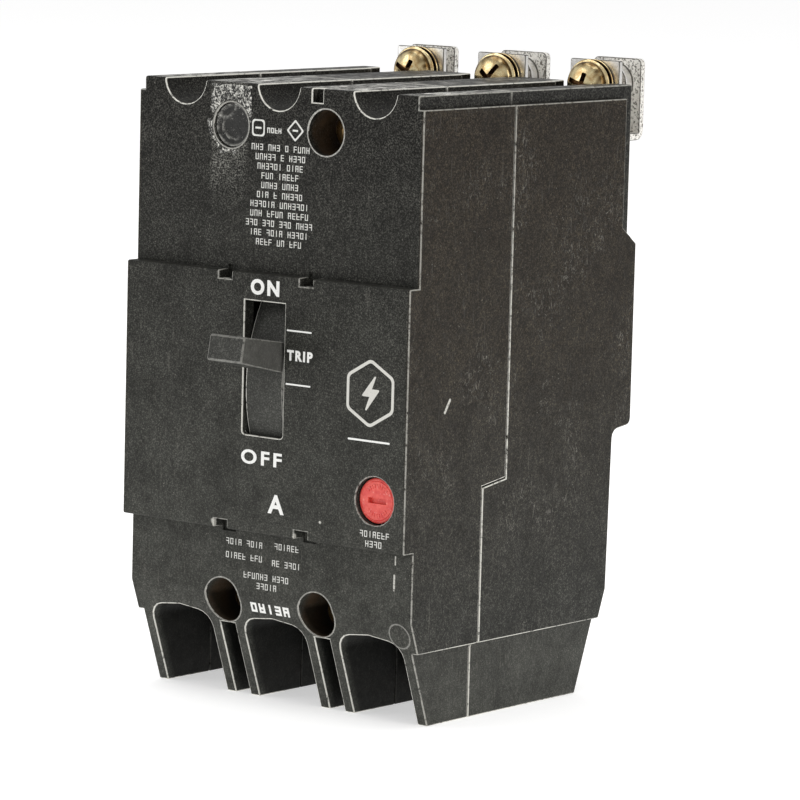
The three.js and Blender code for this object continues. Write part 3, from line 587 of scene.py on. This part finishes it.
def cut(mesh, *cutters):
    """The mesh with each cutter taken away."""
    target = new_object("cut_target", mesh, None)
    tools = [new_object("cut_tool", cutter, None) for cutter in cutters]
    for tool in tools:
        step = target.modifiers.new("cut", "BOOLEAN")
        step.operation = "DIFFERENCE"
        step.solver = "EXACT"
        step.object = tool
    shown = target.evaluated_get(bpy.context.evaluated_depsgraph_get())
    result = bpy.data.meshes.new_from_object(shown)
    for obj in (target, *tools):
        old = obj.data
        bpy.data.objects.remove(obj)
        bpy.data.meshes.remove(old)
    smooth(result)
    return result


def turned_about_y(mesh, x, z, degrees):
    about = Matrix.Translation((x * MM, 0, z * MM))
    mesh.transform(about @ Matrix.Rotation(math.radians(degrees), 4, "Y") @ about.inverted())
    return mesh


def inside_chamber(point):
    """True for a place, in metres, that is inside the case."""
    x, y, z = point / MM
    return (
        CHAMBER_Y[0] - 0.2 < y < CHAMBER_Y[1] + 0.2
        and CHAMBER_Z[0] - 0.2 < z < CHAMBER_Z[1] + 0.2
        and abs(x) < 36.5
    )


def nowhere(point):
    """For a node that shows all its edges."""
    return False


def merged_copy(node, name):
    """A CAD node's shape with its facets merged into flat faces."""
    form = bmesh.new()
    form.from_mesh(NODES[node].data)
    bmesh.ops.remove_doubles(form, verts=form.verts, dist=WELD * MM)
    bmesh.ops.dissolve_limit(form, angle_limit=FLAT_ANGLE, verts=form.verts, edges=form.edges)
    mesh = bpy.data.meshes.new(name)
    form.to_mesh(mesh)
    form.free()
    for layer in ("custom_normal", "sharp_face", "sharp_edge"):
        if layer in mesh.attributes:
            mesh.attributes.remove(mesh.attributes[layer])
    mesh.materials.clear()
    return mesh


def worn_shell(node, name, material, edge, wear, body, width=WORN, hidden=inside_chamber):
    """A CAD node's shape with its edges rounded, but for those that are hidden(middle).

    wear(point) says how pale each edge is."""
    mesh = merged_copy(node, name)
    with edited(mesh) as form:
        weight = form.edges.layers.float.new("bevel_weight_edge")
        for e in form.edges:
            if len(e.link_faces) == 2:
                middle = (e.verts[0].co + e.verts[1].co) / 2
                sharp = e.calc_face_angle_signed(0) > EDGE_ANGLE
                e[weight] = 1.0 if sharp and not hidden(middle) else 0.0
        worn = form.verts.layers.float.new("wear")
        for v in form.verts:
            v[worn] = wear(v.co / MM)
    smooth(mesh, math.degrees(EDGE_ANGLE))
    obj = piece(name, mesh, material, body, (node,))
    mesh.materials.append(MAT[edge])
    bevel = obj.modifiers.new("worn_edges", "BEVEL")
    bevel.limit_method = "WEIGHT"
    bevel.width = width * MM
    bevel.segments = 2
    bevel.material = 1
    bevel.use_clamp_overlap = False
    bevel.harden_normals = True


# ---- case
def case_wear(p):
    """How pale the moulded edges are worn: most round the pockets, arches, slot and seam."""
    x, y, z = p
    inner = abs(x) < FLANK_X
    near_seam = abs(y - SEAM_Y) < 1 or (z < SEAM_STEP_Z and abs(y - SEAM_FOOT_Y) < 1.6)
    near_slot = abs(x) < SLOT_HALF and SLOT_Z[0] < z < SLOT_Z[1] and y < PANEL_Y + 1.5
    near_pocket = y < FACE_Y + 4 and any(
        math.hypot(x - px, z - pz) < POCKET_R + 0.75 for px in BETWEEN_POLES for pz in RIVET_Z
    )
    if inner and z < CHAMBER_Z[0] and y > PANEL_Y + 15:  # deep in the lug bays
        return 0.05
    if near_slot:
        return 1.7 if x < 0 or z < SLOT_Z[0] + 4 else 1.2
    if near_seam and z < CASE_TOP - 4:
        return 1.15 + 0.9 * max(0.0, 1 - z / 40)
    if inner and z > CASE_TOP - 0.8:
        return 1.9
    if inner and z < 20 and y < PANEL_Y + 14:  # the arches over the lugs
        return 1.5
    if near_pocket:
        return 1.6
    if inner and z > TROUGH_EDGE_Z and y < FACE_Y + 1:
        return 1.2
    return 0.45


worn_shell("front_cover", "front_cover_moulding", "case", "case_edge", case_wear, "case")
worn_shell("rear_base", "rear_base_moulding", "case", "case_edge", case_wear, "case")


# ---- sealing compound
def ridge(away, width):
    """A soft ridge: 1 on its line, falling to nought on both sides."""
    return math.exp(-(away / width) ** 2)


def seal_wax():
    """Compound pressed into one rivet pocket: dished, with a rolled rim and a few dragged ridges."""
    low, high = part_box("seal_wax")
    x, z = (low.x + high.x) / 2 / MM, (low.z + high.z) / 2 / MM
    radius, back = POCKET_R - 0.06, high.y / MM
    front = FACE_Y + 0.55
    rings, sides = 30, 96
    points, crest_highlights = [(x, front + 0.5, z)], [0.0]
    for k in range(1, rings + 1):
        r = radius * k / rings
        for j in range(sides):
            a = 2 * math.pi * j / sides
            px, pz = x + r * math.cos(a), z + r * math.sin(a)
            lump = noise.noise(Vector((px * 0.6, 3.0, pz * 0.6)))
            rough = noise.noise(Vector((px * 2.4, 1.0, pz * 2.4)))
            rolled = ridge(r / radius - 0.93, 0.07)
            dragged = ridge(r / radius - 0.62 - 0.12 * lump, 0.06) * max(0.0, math.cos(a - 3.9))
            top = ridge(math.hypot(px - x + 2.5, pz - z - 4.5) - 3.0, 0.35)
            crest = rolled + dragged + 0.6 * top
            points.append((px, front + 0.5 - 0.55 * crest + 0.2 * lump + 0.15 * rough, pz))
            # how strongly each point takes the painted highlight in the compound's colour
            crest_highlights.append(min(1.0, crest * (0.75 + lump)))
    rim = 1 + (rings - 1) * sides
    points += [(points[rim + j][0], back, points[rim + j][2]) for j in range(sides)]
    crest_highlights += [0.0] * sides
    faces = [(0, 1 + j, 1 + (j + 1) % sides) for j in range(sides)]
    for k in range(rings):
        a, b = 1 + k * sides, 1 + (k + 1) * sides
        faces += [(a + j, a + (j + 1) % sides, b + (j + 1) % sides, b + j) for j in range(sides)]
    faces.append([1 + rings * sides + j for j in range(sides)])
    mesh = mesh_from("seal_wax_fill", points, faces)
    mesh.attributes.new("crest", "FLOAT", "POINT").data.foreach_set("value", crest_highlights)
    smooth(mesh, 60)
    piece("seal_wax_fill", mesh, "compound", replaces=("seal_wax",))


def smear():
    """The crust of compound spilt on the face above and beside the filled pocket."""
    pitch, columns, rows = 0.32, 42, 46
    cx, cz = BETWEEN_POLES[0], RIVET_Z[0]

    def depth(x, z):
        ragged = noise.noise(Vector((x * 0.55, 5.0, z * 0.55)))
        crumbs = noise.noise(Vector((x * 1.9, 8.0, z * 1.9)))
        from_pocket = math.hypot(x - cx, z - cz)
        above = min(5.6 + 0.9 * ragged - abs(x - cx), z - cz, CASE_TOP - 0.35 - z)
        lit_right_face = min(6.2 + 1.6 * ragged - from_pocket, cx + 2.5 - x)
        edge = min(max(above, lit_right_face), from_pocket - 5.05)
        return -1 if edge < 0 else 0.05 + 0.3 * min(edge, 1.0) * (0.45 + 0.55 * crumbs)

    kept = {}
    for i in range(columns):
        for j in range(rows):
            x, z = cx + (i - columns / 2) * pitch, cz - 6 + j * pitch
            d = depth(x, z)
            if d > 0:
                kept[i, j] = (x, z, d)
    front = {key: n for n, key in enumerate(kept)}
    points = [(x, FACE_Y - d, z) for x, z, d in kept.values()]
    points += [(x, FACE_Y + 0.02, z) for x, z, d in kept.values()]
    faces, open_sides = [], {}
    for i, j in kept:
        square = [(i, j), (i + 1, j), (i + 1, j + 1), (i, j + 1)]
        if not all(key in kept for key in square):
            continue
        ring = [front[key] for key in square]
        faces.append(ring)
        faces.append([n + len(kept) for n in reversed(ring)])
        for a, b in zip(ring, ring[1:] + ring[:1]):
            if (b, a) in open_sides:
                del open_sides[b, a]
            else:
                open_sides[a, b] = True
    faces += [(b, a, a + len(kept), b + len(kept)) for a, b in open_sides]
    mesh = mesh_from("compound_smear", points, faces)
    with edited(mesh) as form:
        bmesh.ops.delete(form, geom=[v for v in form.verts if not v.link_faces], context="VERTS")
    smooth(mesh, 50)
    piece("compound_smear", mesh, "crust")


seal_wax()
smear()


# ---- handle and trip button
def handle_wear_and_highlight(p):
    """Pale along the skirt's left edge in the slot, from wear and a painted highlight, and hardly worn at all
    on the knob.
    """
    if p.y < PANEL_Y:
        return 0.22
    # painted highlight: the skirt's left edge is made pale, beyond its wear
    return 2.2 if p.x < 0 else 0.3


worn_shell("handle", "toggle_handle", "handle", "handle_edge", handle_wear_and_highlight, "handle",
           width=0.34, hidden=nowhere)


def trip_button():
    """A red plunger with a driver slot and a ring of small raised bars on its face."""
    low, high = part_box("trip_button")
    face, stem_end = low.y / MM, high.y / MM
    x, z = BUTTON_AT
    skirt = face + 2.5
    profile = [(0, face), (3.95, face), (4.05, face + 0.1), (4.15, face + 0.02), (4.45, face + 0.05),
               (4.62, face + 0.16), (4.7, face + 0.35), (4.7, skirt), (5.6, skirt), (5.75, skirt + 0.15),
               (5.75, skirt + 1.1), (1.8, skirt + 1.1), (1.8, stem_end - 0.2), (1.6, stem_end), (0, stem_end)]
    body = turned("trip_button_cap", profile, x, z, sides=96)
    slot = prism("slot", oblong(x - 2.3, x + 2.4, z - 0.6, z + 0.6, 0.15), face - 1, face + 0.9)
    bars = []
    for start in (42, 222):
        for k in range(9):
            outline = oblong(x - 0.14, x + 0.14, z + 2.65, z + 3.45, 0.1, steps=2)
            bar = prism("bar", outline, face - 0.1, face + 0.05)
            bars.append(turned_about_y(bar, x, z, start + 12 * k - 90))
    mesh = joined("trip_button_cap", [cut(body, slot), *bars])
    smooth(mesh)
    piece("trip_button_cap", mesh, "red", "trip_button", ("trip_button",))


trip_button()


# ---- rivets
def case_rivet(node):
    """A tubular rivet: domed head in front, rolled over at the back round its bore."""
    low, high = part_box(node)
    x, z = (low.x + high.x) / 2 / MM, (low.z + high.z) / 2 / MM
    radius = (high.x - low.x) / 2 / MM
    front, back = low.y / MM, high.y / MM
    profile = [(0, front + 0.35), (0.9, front + 0.3), (1.25, front)]
    profile += [(1.25 + (radius - 1.25) * math.sin(a), front + 1.4 * (1 - math.cos(a)))
                for a in (math.radians(10 * k) for k in range(2, 10))]
    profile += [(radius, front + 1.75), (radius - 0.15, front + 1.9), (1.9, front + 1.9), (1.9, back - 1.7)]
    profile += [(radius - 0.1, back - 1.7), (radius, back - 1.55), (radius, back - 0.9),
                (radius - 0.5, back - 0.3), (radius - 1.4, back), (1.5, back - 0.1), (1.15, back - 0.5),
                (1.15, back - 4), (0, back - 4.2)]
    mesh = turned(f"{node}_turned", profile, x, z)
    piece(f"{node}_turned", mesh, "rivet", replaces=(node,))


for n in range(1, 5):
    case_rivet(f"case_rivet_{n}")


# ---- line terminals
def grime_and_shade(mesh, amount):
    """Writes how dark each vertex is made by grime and painted shade: amount(point) from 0 to 1."""
    layer = mesh.attributes.new("grime_and_shade", "FLOAT", "POINT")
    layer.data.foreach_set("value", [amount(v.co / MM) for v in mesh.vertices])


def line_screw(pole, x, turn):
    """A domed brass screw with a cross recess, one long slot of it reaching further out."""
    node = f"line_screw_{pole}"
    low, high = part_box(node)
    top, tip = low.y / MM, high.y / MM
    radius, rim, shank = 5.4, top + 3.5, 2.4
    dome, apex, rise = 4.9, top + 0.55, 2.2

    def dome_y(flat):
        return apex + rise * (1 - math.sqrt(max(0.0, 1 - (flat / dome) ** 2)))

    profile = [(0, apex)]
    profile += [(dome * math.sin(a), dome_y(dome * math.sin(a)))
                for a in (math.radians(5 * k) for k in range(1, 19))]
    profile += [(dome - 0.25, rim - 0.6), (radius - 0.25, rim - 0.52), (radius, rim - 0.3),
                (radius - 0.2, rim - 0.05), (radius - 0.45, rim), (shank, rim)]
    y = rim + 0.5
    while y < tip - 0.9:
        profile += [(shank, y), (shank - 0.3, y + 0.32), (shank, y + 0.64)]
        y += 0.8
    profile += [(shank - 0.7, tip), (0, tip)]
    head = turned(node, profile, x, SCREW_Z)
    cutters = []
    for angle, reach, half in ((turn, 3.7, 0.55), (turn + 90, 2.7, 0.6)):
        outline = oblong(x - reach, x + reach, SCREW_Z - half, SCREW_Z + half, 0.3)
        cutters.append(turned_about_y(prism("recess", outline, top - 1, top + 2.1), x, SCREW_Z, angle))
    mesh = cut(head, *cutters)

    # tarnish, with painted dark reflection towards the dome's rim and painted shade behind the head
    def tarnish_and_shade(p):
        flat = math.hypot(p.x - x, p.z - SCREW_Z)
        patch = noise.noise(Vector((p.x * 0.9, p.y * 0.9, p.z * 0.9 + pole)))
        if p.y > rim - 0.62:
            return 1.0 if flat < radius - 0.4 else 0.0
        return min(1.0, max(0.0, (flat - 3.5) / 1.3 + 0.8 * patch))

    grime_and_shade(mesh, tarnish_and_shade)
    piece(f"terminal_screw_{pole}", mesh, "brass", f"line_clamp_{pole}", (node,))
    mesh.materials.append(MAT["brass_shade_and_tarnish"])
    # the cross recess and the back of the head take the darker brass: tarnish and painted shade
    for face in mesh.polygons:
        middle = face.center / MM
        flat = math.hypot(middle.x - x, middle.z - SCREW_Z)
        in_recess = middle.y > dome_y(flat) + 0.12 and middle.y < top + 2.3 and flat < 4
        if in_recess or (face.normal.y > 0.9 and flat > shank):
            face.material_index = 1


def ring_piece(pole, x, kind, name, split):
    """A pressed washer with rounded rims."""
    node = f"{kind}_{pole}"
    low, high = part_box(node)
    radius = (high.z - low.z) / 2 / MM
    y0, y1 = low.y / MM, high.y / MM
    bore, soft = 2.8, 0.18
    bulge = (y1 - y0) / 2
    rim = [(radius - 0.5 + 0.5 * math.cos(a), (y0 + y1) / 2 + bulge * math.sin(a))
           for a in (math.radians(15 * k) for k in range(-6, 7))]
    profile = [(bore, y0 + soft), (bore + soft, y0), *rim, (bore + soft, y1), (bore, y1 - soft)]
    mesh = turned(node, profile, x, SCREW_Z, loop=True)
    if split:
        mesh = cut(mesh, prism("gap", oblong(x - 0.3, x + 0.3, SCREW_Z - 8, SCREW_Z, 0), y0 - 1, y1 + 1))

    # tarnish, and painted shade in the grooves between the stacked washers
    def tarnish_and_shade(p):
        from_middle = abs(p.y - (y0 + y1) / 2) / ((y1 - y0) / 2)
        return min(1.0, max(0.0, (from_middle - 0.35) / 0.3))

    grime_and_shade(mesh, tarnish_and_shade)
    piece(f"{name}_{pole}", mesh, "brass", f"line_clamp_{pole}", (node,))
    mesh.materials.append(MAT["brass_shade_and_tarnish"])
    # the flats take the darker brass: tarnish and painted shade
    for face in mesh.polygons:  # the flats sit in the crevices of the stack
        if abs(face.normal.y) > 0.8:
            face.material_index = 1


def no_wear(p):
    return 0.0


for pole, (x, turn) in enumerate(zip(POLES, (24, -52, 16)), start=1):
    line_screw(pole, x, turn)
    ring_piece(pole, x, "lock_washer", "spring_washer", True)
    ring_piece(pole, x, "flat_washer", "plain_washer", False)
    worn_shell(f"clamp_plate_{pole}", f"pressure_plate_{pole}", "plate", "silver_edge", no_wear,
               f"line_clamp_{pole}", width=FINE)
    worn_shell(f"line_strap_{pole}", f"terminal_strap_{pole}", "silver", "silver_edge", no_wear, "case",
               width=FINE)


def strap_collar(pole, x):
    """The bright lip of the collar pressed out of the strap, with a painted shadow in the crease behind it.
    """
    y0, y1 = STRAP_FRONT_Y - 2.35, STRAP_FRONT_Y
    end = y1 - 0.3
    lip = [(3.4, y0 + 0.05), (COLLAR_R - 0.25, y0), (COLLAR_R, y0 + 0.25), (COLLAR_R, end), (3.4, end)]
    # painted shadow: a dark ring laid in the crease behind the lip
    shade_ring = [(3.6, end), (COLLAR_R + 0.05, end), (COLLAR_R + 0.2, y1 + 0.02), (3.6, y1 + 0.02)]
    for name, profile, material in (("strap_collar", lip, "plate"), ("collar_shade_ring", shade_ring, "silver_edge")):
        mesh = turned(f"{name}_{pole}", profile, x, SCREW_Z, loop=True)
        piece(f"{name}_{pole}", mesh, material, "case")


for pole, x in enumerate(POLES, start=1):
    strap_collar(pole, x)


# ---- marking
GLYPHS = ("ltr", "ltrf", "lbf", "lrb", "m", "ltb", "rtbf", "ltrb", "lrf", "rtb", "ltbf")
RATING_LINES = ((3, 3, 1, 4), (5, 1, 4), (6, 4), (3, 5), (4, 4), (3, 1, 5), (6, 7), (3, 4, 5),
                (3, 3, 3, 4), (3, 4, 5), (4, 2, 3))  # how many signs each word has
WIRING_WORDS = (((4, 4), -6.6, 33.9), ((6,), 4.9, 34.2), ((5, 3), -6.6, 31.0), ((2, 4), 4.9, 30.6),
                ((6, 4), -0.5, 27.3), ((5,), -0.3, 25.3))  # words, then their middle and height
BUTTON_WORDS = (((7,), 30.6, 40.4), ((4,), 30.4, 38.4))
PRINT_SIZE = (0.78, 1.3, 0.17)  # width, height and stroke of a sign
PRINT_STEP = 1.13


def inked(name, meshes, material="ink"):
    mesh = joined(name, meshes)
    smooth(mesh)
    piece(name, mesh, material)


def lettering(text, x0, x1, z0, z1, y, weight=0.045):
    """A plain word filling a rectangle on a face at y."""
    curve = bpy.data.curves.new(text, "FONT")
    curve.body = text
    curve.extrude = 0.02
    curve.offset = weight
    curve.space_character = 1.3
    curve.resolution_u = 4
    writer = new_object(text, curve, None)
    mesh = bpy.data.meshes.new_from_object(writer.evaluated_get(bpy.context.evaluated_depsgraph_get()))
    bpy.data.objects.remove(writer)
    bpy.data.curves.remove(curve)
    low = Vector(map(min, *[v.co for v in mesh.vertices]))
    high = Vector(map(max, *[v.co for v in mesh.vertices]))
    for v in mesh.vertices:
        across = (v.co.x - low.x) / (high.x - low.x)
        up = (v.co.y - low.y) / (high.y - low.y)
        out_y = y - INK if v.co.z > 0 else y + SUNK
        v.co = Vector((x0 + across * (x1 - x0), out_y, z0 + up * (z1 - z0))) * MM
    return mesh


def bar_mark(x0, x1, z, thick, y):
    """A stroke with round ends."""
    half = thick / 2
    return prism("bar", oblong(x0, x1, z - half, z + half, half * 0.98, steps=3), y - INK, y + SUNK)


def block(x, z, width, height, y):
    return prism("block", oblong(x, x + width, z, z + height, 0), y - INK, y + SUNK)


def glyph(form, x, z, size, y):
    """A plain sign made of up to six strokes: left, right, middle upright, top, bar and foot."""
    width, height, stroke = size
    uprights = {"l": x, "r": x + width - stroke, "m": x + (width - stroke) / 2}
    levels = {"t": z + height - stroke, "b": z + (height - stroke) / 2, "f": z}
    inner = x + stroke if "l" in form else x
    reach = x + width - (stroke if "r" in form else 0) - inner
    made = [block(uprights[key], z, stroke, height, y) for key in form if key in uprights]
    if "m" not in form:
        made += [block(inner, levels[key], reach, stroke, y) for key in form if key in levels]
    return made


def small_print(words, centre, z, y):
    """A centred line of plain signs in place of small print: words is how many signs each word has."""
    total = (sum(words) + len(words) - 1) * PRINT_STEP
    x = centre - total / 2
    made = []
    for count in words:
        for n in range(count):
            form = GLYPHS[(3 * n + 5 * count + int(z)) % len(GLYPHS)]
            made += glyph(form, x, z - PRINT_SIZE[1] / 2, PRINT_SIZE, y)
            x += PRINT_STEP
        x += PRINT_STEP
    return made


def marking():
    inked("mark_on", [lettering("ON", -3.85, 3.85, 86.7, 90.0, PANEL_Y)])
    inked("mark_off", [lettering("OFF", -5.5, 5.5, 51.3, 54.35, PANEL_Y, weight=0.025)])
    trip = [lettering("TRIP", 6.3, 13.1, 73.9, 76.1, PANEL_Y)]
    trip += [bar_mark(6.1, 12.7, z, 0.34, PANEL_Y) for z in (80.1, 69.0)]
    inked("mark_trip", trip)
    inked("mark_amperes", [lettering("A", 2.0, 6.35, 41.6, 45.6, PANEL_Y, weight=0.03)])
    inked("mark_rule", [bar_mark(22.9, 33.8, 59.45, 0.4, PANEL_Y)])
    rating_words = [(words, 0.9, 117 - 1.96 * row) for row, words in enumerate(RATING_LINES)]
    for name, lines, y in (("rating_blocks", rating_words, FACE_Y), ("wiring_blocks", WIRING_WORDS, FACE_Y),
                           ("button_blocks", BUTTON_WORDS, PANEL_Y)):
        inked(name, [sign for words, x, z in lines for sign in small_print(words, x, z, y)], "small_ink")


def date_blocks():
    """Five bold signs on the leaning front, where a date code goes."""
    made = []
    for n, form in enumerate(("ltrf", "lbrf", "m", "rtbf", "ltrb")):
        made += glyph(form, -5.1 + 2.2 * n, SLANT_TOP_Z - 3.0, (1.6, 2.1, 0.5), FACE_Y)
    for mesh in made:
        for v in mesh.vertices:
            v.co.y += LEAN * (SLANT_TOP_Z * MM - v.co.z)
    inked("date_blocks", made)


def approval_marks():
    """A soft square and a diamond with a dash in each, joined by a few signs."""
    y, z = FACE_Y, 120.9
    square = [oblong(-7.0 + r, -3.6 - r, z - 1.75 + r, z + 1.75 - r, 0.7) for r in (0, 0.34)]
    diamond = [filleted([(4.6 - r, z, 0.3), (4.6, z - r, 0.3), (4.6 + r, z, 0.3), (4.6, z + r, 0.3)])
               for r in (2.3, 1.8)]
    made = [band("square", *square, y - INK, y + SUNK), band("diamond", *diamond, y - INK, y + SUNK)]
    made += [block(-6.1, z - 0.2, 1.6, 0.4, y), block(3.9, z - 0.2, 1.4, 0.4, y)]
    for n in range(4):
        made += glyph(GLYPHS[n], -2.9 + n, z - 0.9, (0.75, 1.1, 0.2), y)
    inked("approval_marks", made, "small_ink")


def emblem():
    """A hexagon with a zigzag spark: a plain sign for electrical goods."""
    x, z = 28.45, 69.2
    front, behind = PANEL_Y - INK, PANEL_Y + SUNK

    def hexagon(radius, soft):
        return filleted([(x + radius * math.cos(math.radians(60 * k + 30)),
                          z + radius * math.sin(math.radians(60 * k + 30)), soft) for k in range(6)], 5)

    ring = band("ring", hexagon(7.1, 1.6), hexagon(6.35, 1.2), front, behind)
    zigzag = filleted([(x + 1.9, z + 4.6, 0.2), (x - 2.3, z - 0.7, 0.2), (x - 0.2, z - 0.7),
                       (x - 1.7, z - 4.6, 0.2), (x + 2.5, z + 0.9, 0.2), (x + 0.4, z + 0.9)], 3)
    spark = prism("spark", zigzag, front, behind)
    inked("emblem", [ring, spark], "emblem")


def front_at(z):
    """Y of the front at a height: upright, then leaning back towards the foot."""
    return FACE_Y + max(0.0, LEAN * (SLANT_TOP_Z - z))


def face_ring(name, x, z, radius, half, material):
    """A thin raised ring that follows the front round a centre."""
    points, faces = [], []
    around, across = 72, 8
    for k in range(around):
        a = 2 * math.pi * k / around
        here, on = k * across, (k + 1) % around * across
        for j in range(across):
            b = 2 * math.pi * j / across
            r = radius + half * math.cos(b)
            point_z = z + r * math.sin(a)
            points.append((x + r * math.cos(a), front_at(point_z) - half * 0.6 * math.sin(b), point_z))
            n = (j + 1) % across
            faces.append((here + j, here + n, on + n, on + j))
    mesh = mesh_from(name, points, faces)
    smooth(mesh, 60)
    piece(name, mesh, material)


def moulded_rings():
    """Flash left round the rivet pockets, and a cavity ring by the right-hand lug."""
    face_ring("cavity_ring", 34.3, 19.4, 2.6, 0.17, "ring")
    for row, z in zip(("top", "foot"), RIVET_Z):
        for pole, x in enumerate(BETWEEN_POLES, start=1):
            face_ring(f"pocket_flash_{row}_{pole}", x, z, POCKET_R + 0.12, 0.15, "flash")


marking()
date_blocks()
approval_marks()
emblem()
moulded_rings()


# ---- pieces inside, kept as the CAD has them
INSIDE = {
    "steel": ("lug_screw_", "magnet_yoke_", "mechanism_frame", "handle_yoke", "handle_pin", "drive_link",
              "cradle", "mechanism_spring", "button_spring"),
    "copper": ("load_strap_", "bimetal_", "braid_", "contact_arm_"),
    "aluminium": ("load_lug_",),
    "fibre": ("arc_chute_", "crossbar", "trip_bar"),
}


def dress(node, material):
    """Gives a CAD node a real finish and slightly rounded edges."""
    obj = NODES[node]
    mesh = obj.data
    mesh.materials.clear()
    mesh.materials.append(MAT[material])
    if "custom_normal" in mesh.attributes:
        mesh.attributes.remove(mesh.attributes["custom_normal"])
    mesh.polygons.foreach_set("use_smooth", [True] * len(mesh.polygons))
    weld = obj.modifiers.new("weld", "WELD")
    weld.merge_threshold = WELD * MM
    flats = obj.modifiers.new("flats", "DECIMATE")
    flats.decimate_type = "DISSOLVE"
    flats.angle_limit = FLAT_ANGLE
    bevel = obj.modifiers.new("edges", "BEVEL")
    bevel.limit_method = "ANGLE"
    bevel.angle_limit = EDGE_ANGLE
    bevel.width = INNER_EDGE * MM
    bevel.segments = 2
    bevel.harden_normals = True


for material, starts in INSIDE.items():
    for node in NODES:
        if node.startswith(starts):
            dress(node, material)


# ---- stage, light and camera
SKY = 0.52  # brightness of the room
FLOOR_GLOW = 0.50  # a lit white table
FLOOR_HALF = 12000.0
FLOOR_Z = -0.05  # just under the foot, so that the two don't share a plane
CAMERA_AT = (0.60016, -0.75295, 0.18718)
CAMERA_TURN = (-38.269, 7.4157, -1.4759)  # turn, dip and roll in degrees


def floor():
    f = Finish("studio_floor")
    shade = f.mix(f.noise(0.01, detail=2), (0.86, 0.86, 0.86), (0.88, 0.88, 0.88))
    f.done(shade, 0.9, Emission_Color=(1, 1, 1, 1), Emission_Strength=FLOOR_GLOW)
    corners = [(FLOOR_HALF * x, FLOOR_HALF * y, FLOOR_Z) for x, y in ((-1, -1), (1, -1), (1, 1), (-1, 1))]
    mesh = mesh_from("floor", corners, [(0, 1, 2, 3)])
    obj = new_object("floor", mesh, None)
    mesh.materials.append(f.material)


def softbox(name, at, width, height, watts, colour=(1, 1, 1), aim=(0, 0, 0.065)):
    light = bpy.data.lights.new(name, "AREA")
    light.shape = "RECTANGLE"
    light.size, light.size_y = width, height
    light.energy = watts
    light.color = colour
    obj = bpy.data.objects.new(name, light)
    bpy.context.scene.collection.objects.link(obj)
    obj.location = at
    obj.rotation_mode = "QUATERNION"
    obj.rotation_quaternion = (Vector(aim) - Vector(at)).to_track_quat("-Z", "Y")


def studio():
    world = bpy.data.worlds.new("studio")
    world.use_nodes = True
    sky = world.node_tree.nodes["Background"]
    sky.inputs["Color"].default_value = (1, 1, 1, 1)
    sky.inputs["Strength"].default_value = SKY
    bpy.context.scene.world = world
    softbox("overhead", (-0.2, 0.1, 1.8), 1.6, 1.6, 14)
    softbox("front_left", (-1.5, -1.6, 0.9), 1.0, 1.4, 6)
    softbox("right", (1.9, -0.2, 0.8), 0.9, 1.2, 9, colour=(1, 0.96, 0.91))
    floor()
    bpy.context.scene.view_settings.view_transform = "Standard"
    bpy.context.scene.view_settings.look = "None"


def camera():
    """A long lens from the handle side, turned towards the right-hand pole."""
    turn, dip, roll = map(math.radians, CAMERA_TURN)
    ahead = Vector((math.sin(turn) * math.cos(dip), math.cos(turn) * math.cos(dip), -math.sin(dip)))
    right = ahead.cross(Vector((0, 0, 1))).normalized()
    down = ahead.cross(right)
    right_rolled = math.cos(roll) * right + math.sin(roll) * down
    up_rolled = math.sin(roll) * right - math.cos(roll) * down
    data = bpy.data.cameras.new("camera")
    data.lens = 204.83
    data.sensor_width = 36
    data.clip_start = 0.01
    data.clip_end = 50
    obj = bpy.data.objects.new("camera", data)
    bpy.context.scene.collection.objects.link(obj)
    axes = Matrix((right_rolled, up_rolled, -ahead)).transposed().to_4x4()
    obj.matrix_world = Matrix.Translation(CAMERA_AT) @ axes
    bpy.context.scene.camera = obj


studio()
camera()
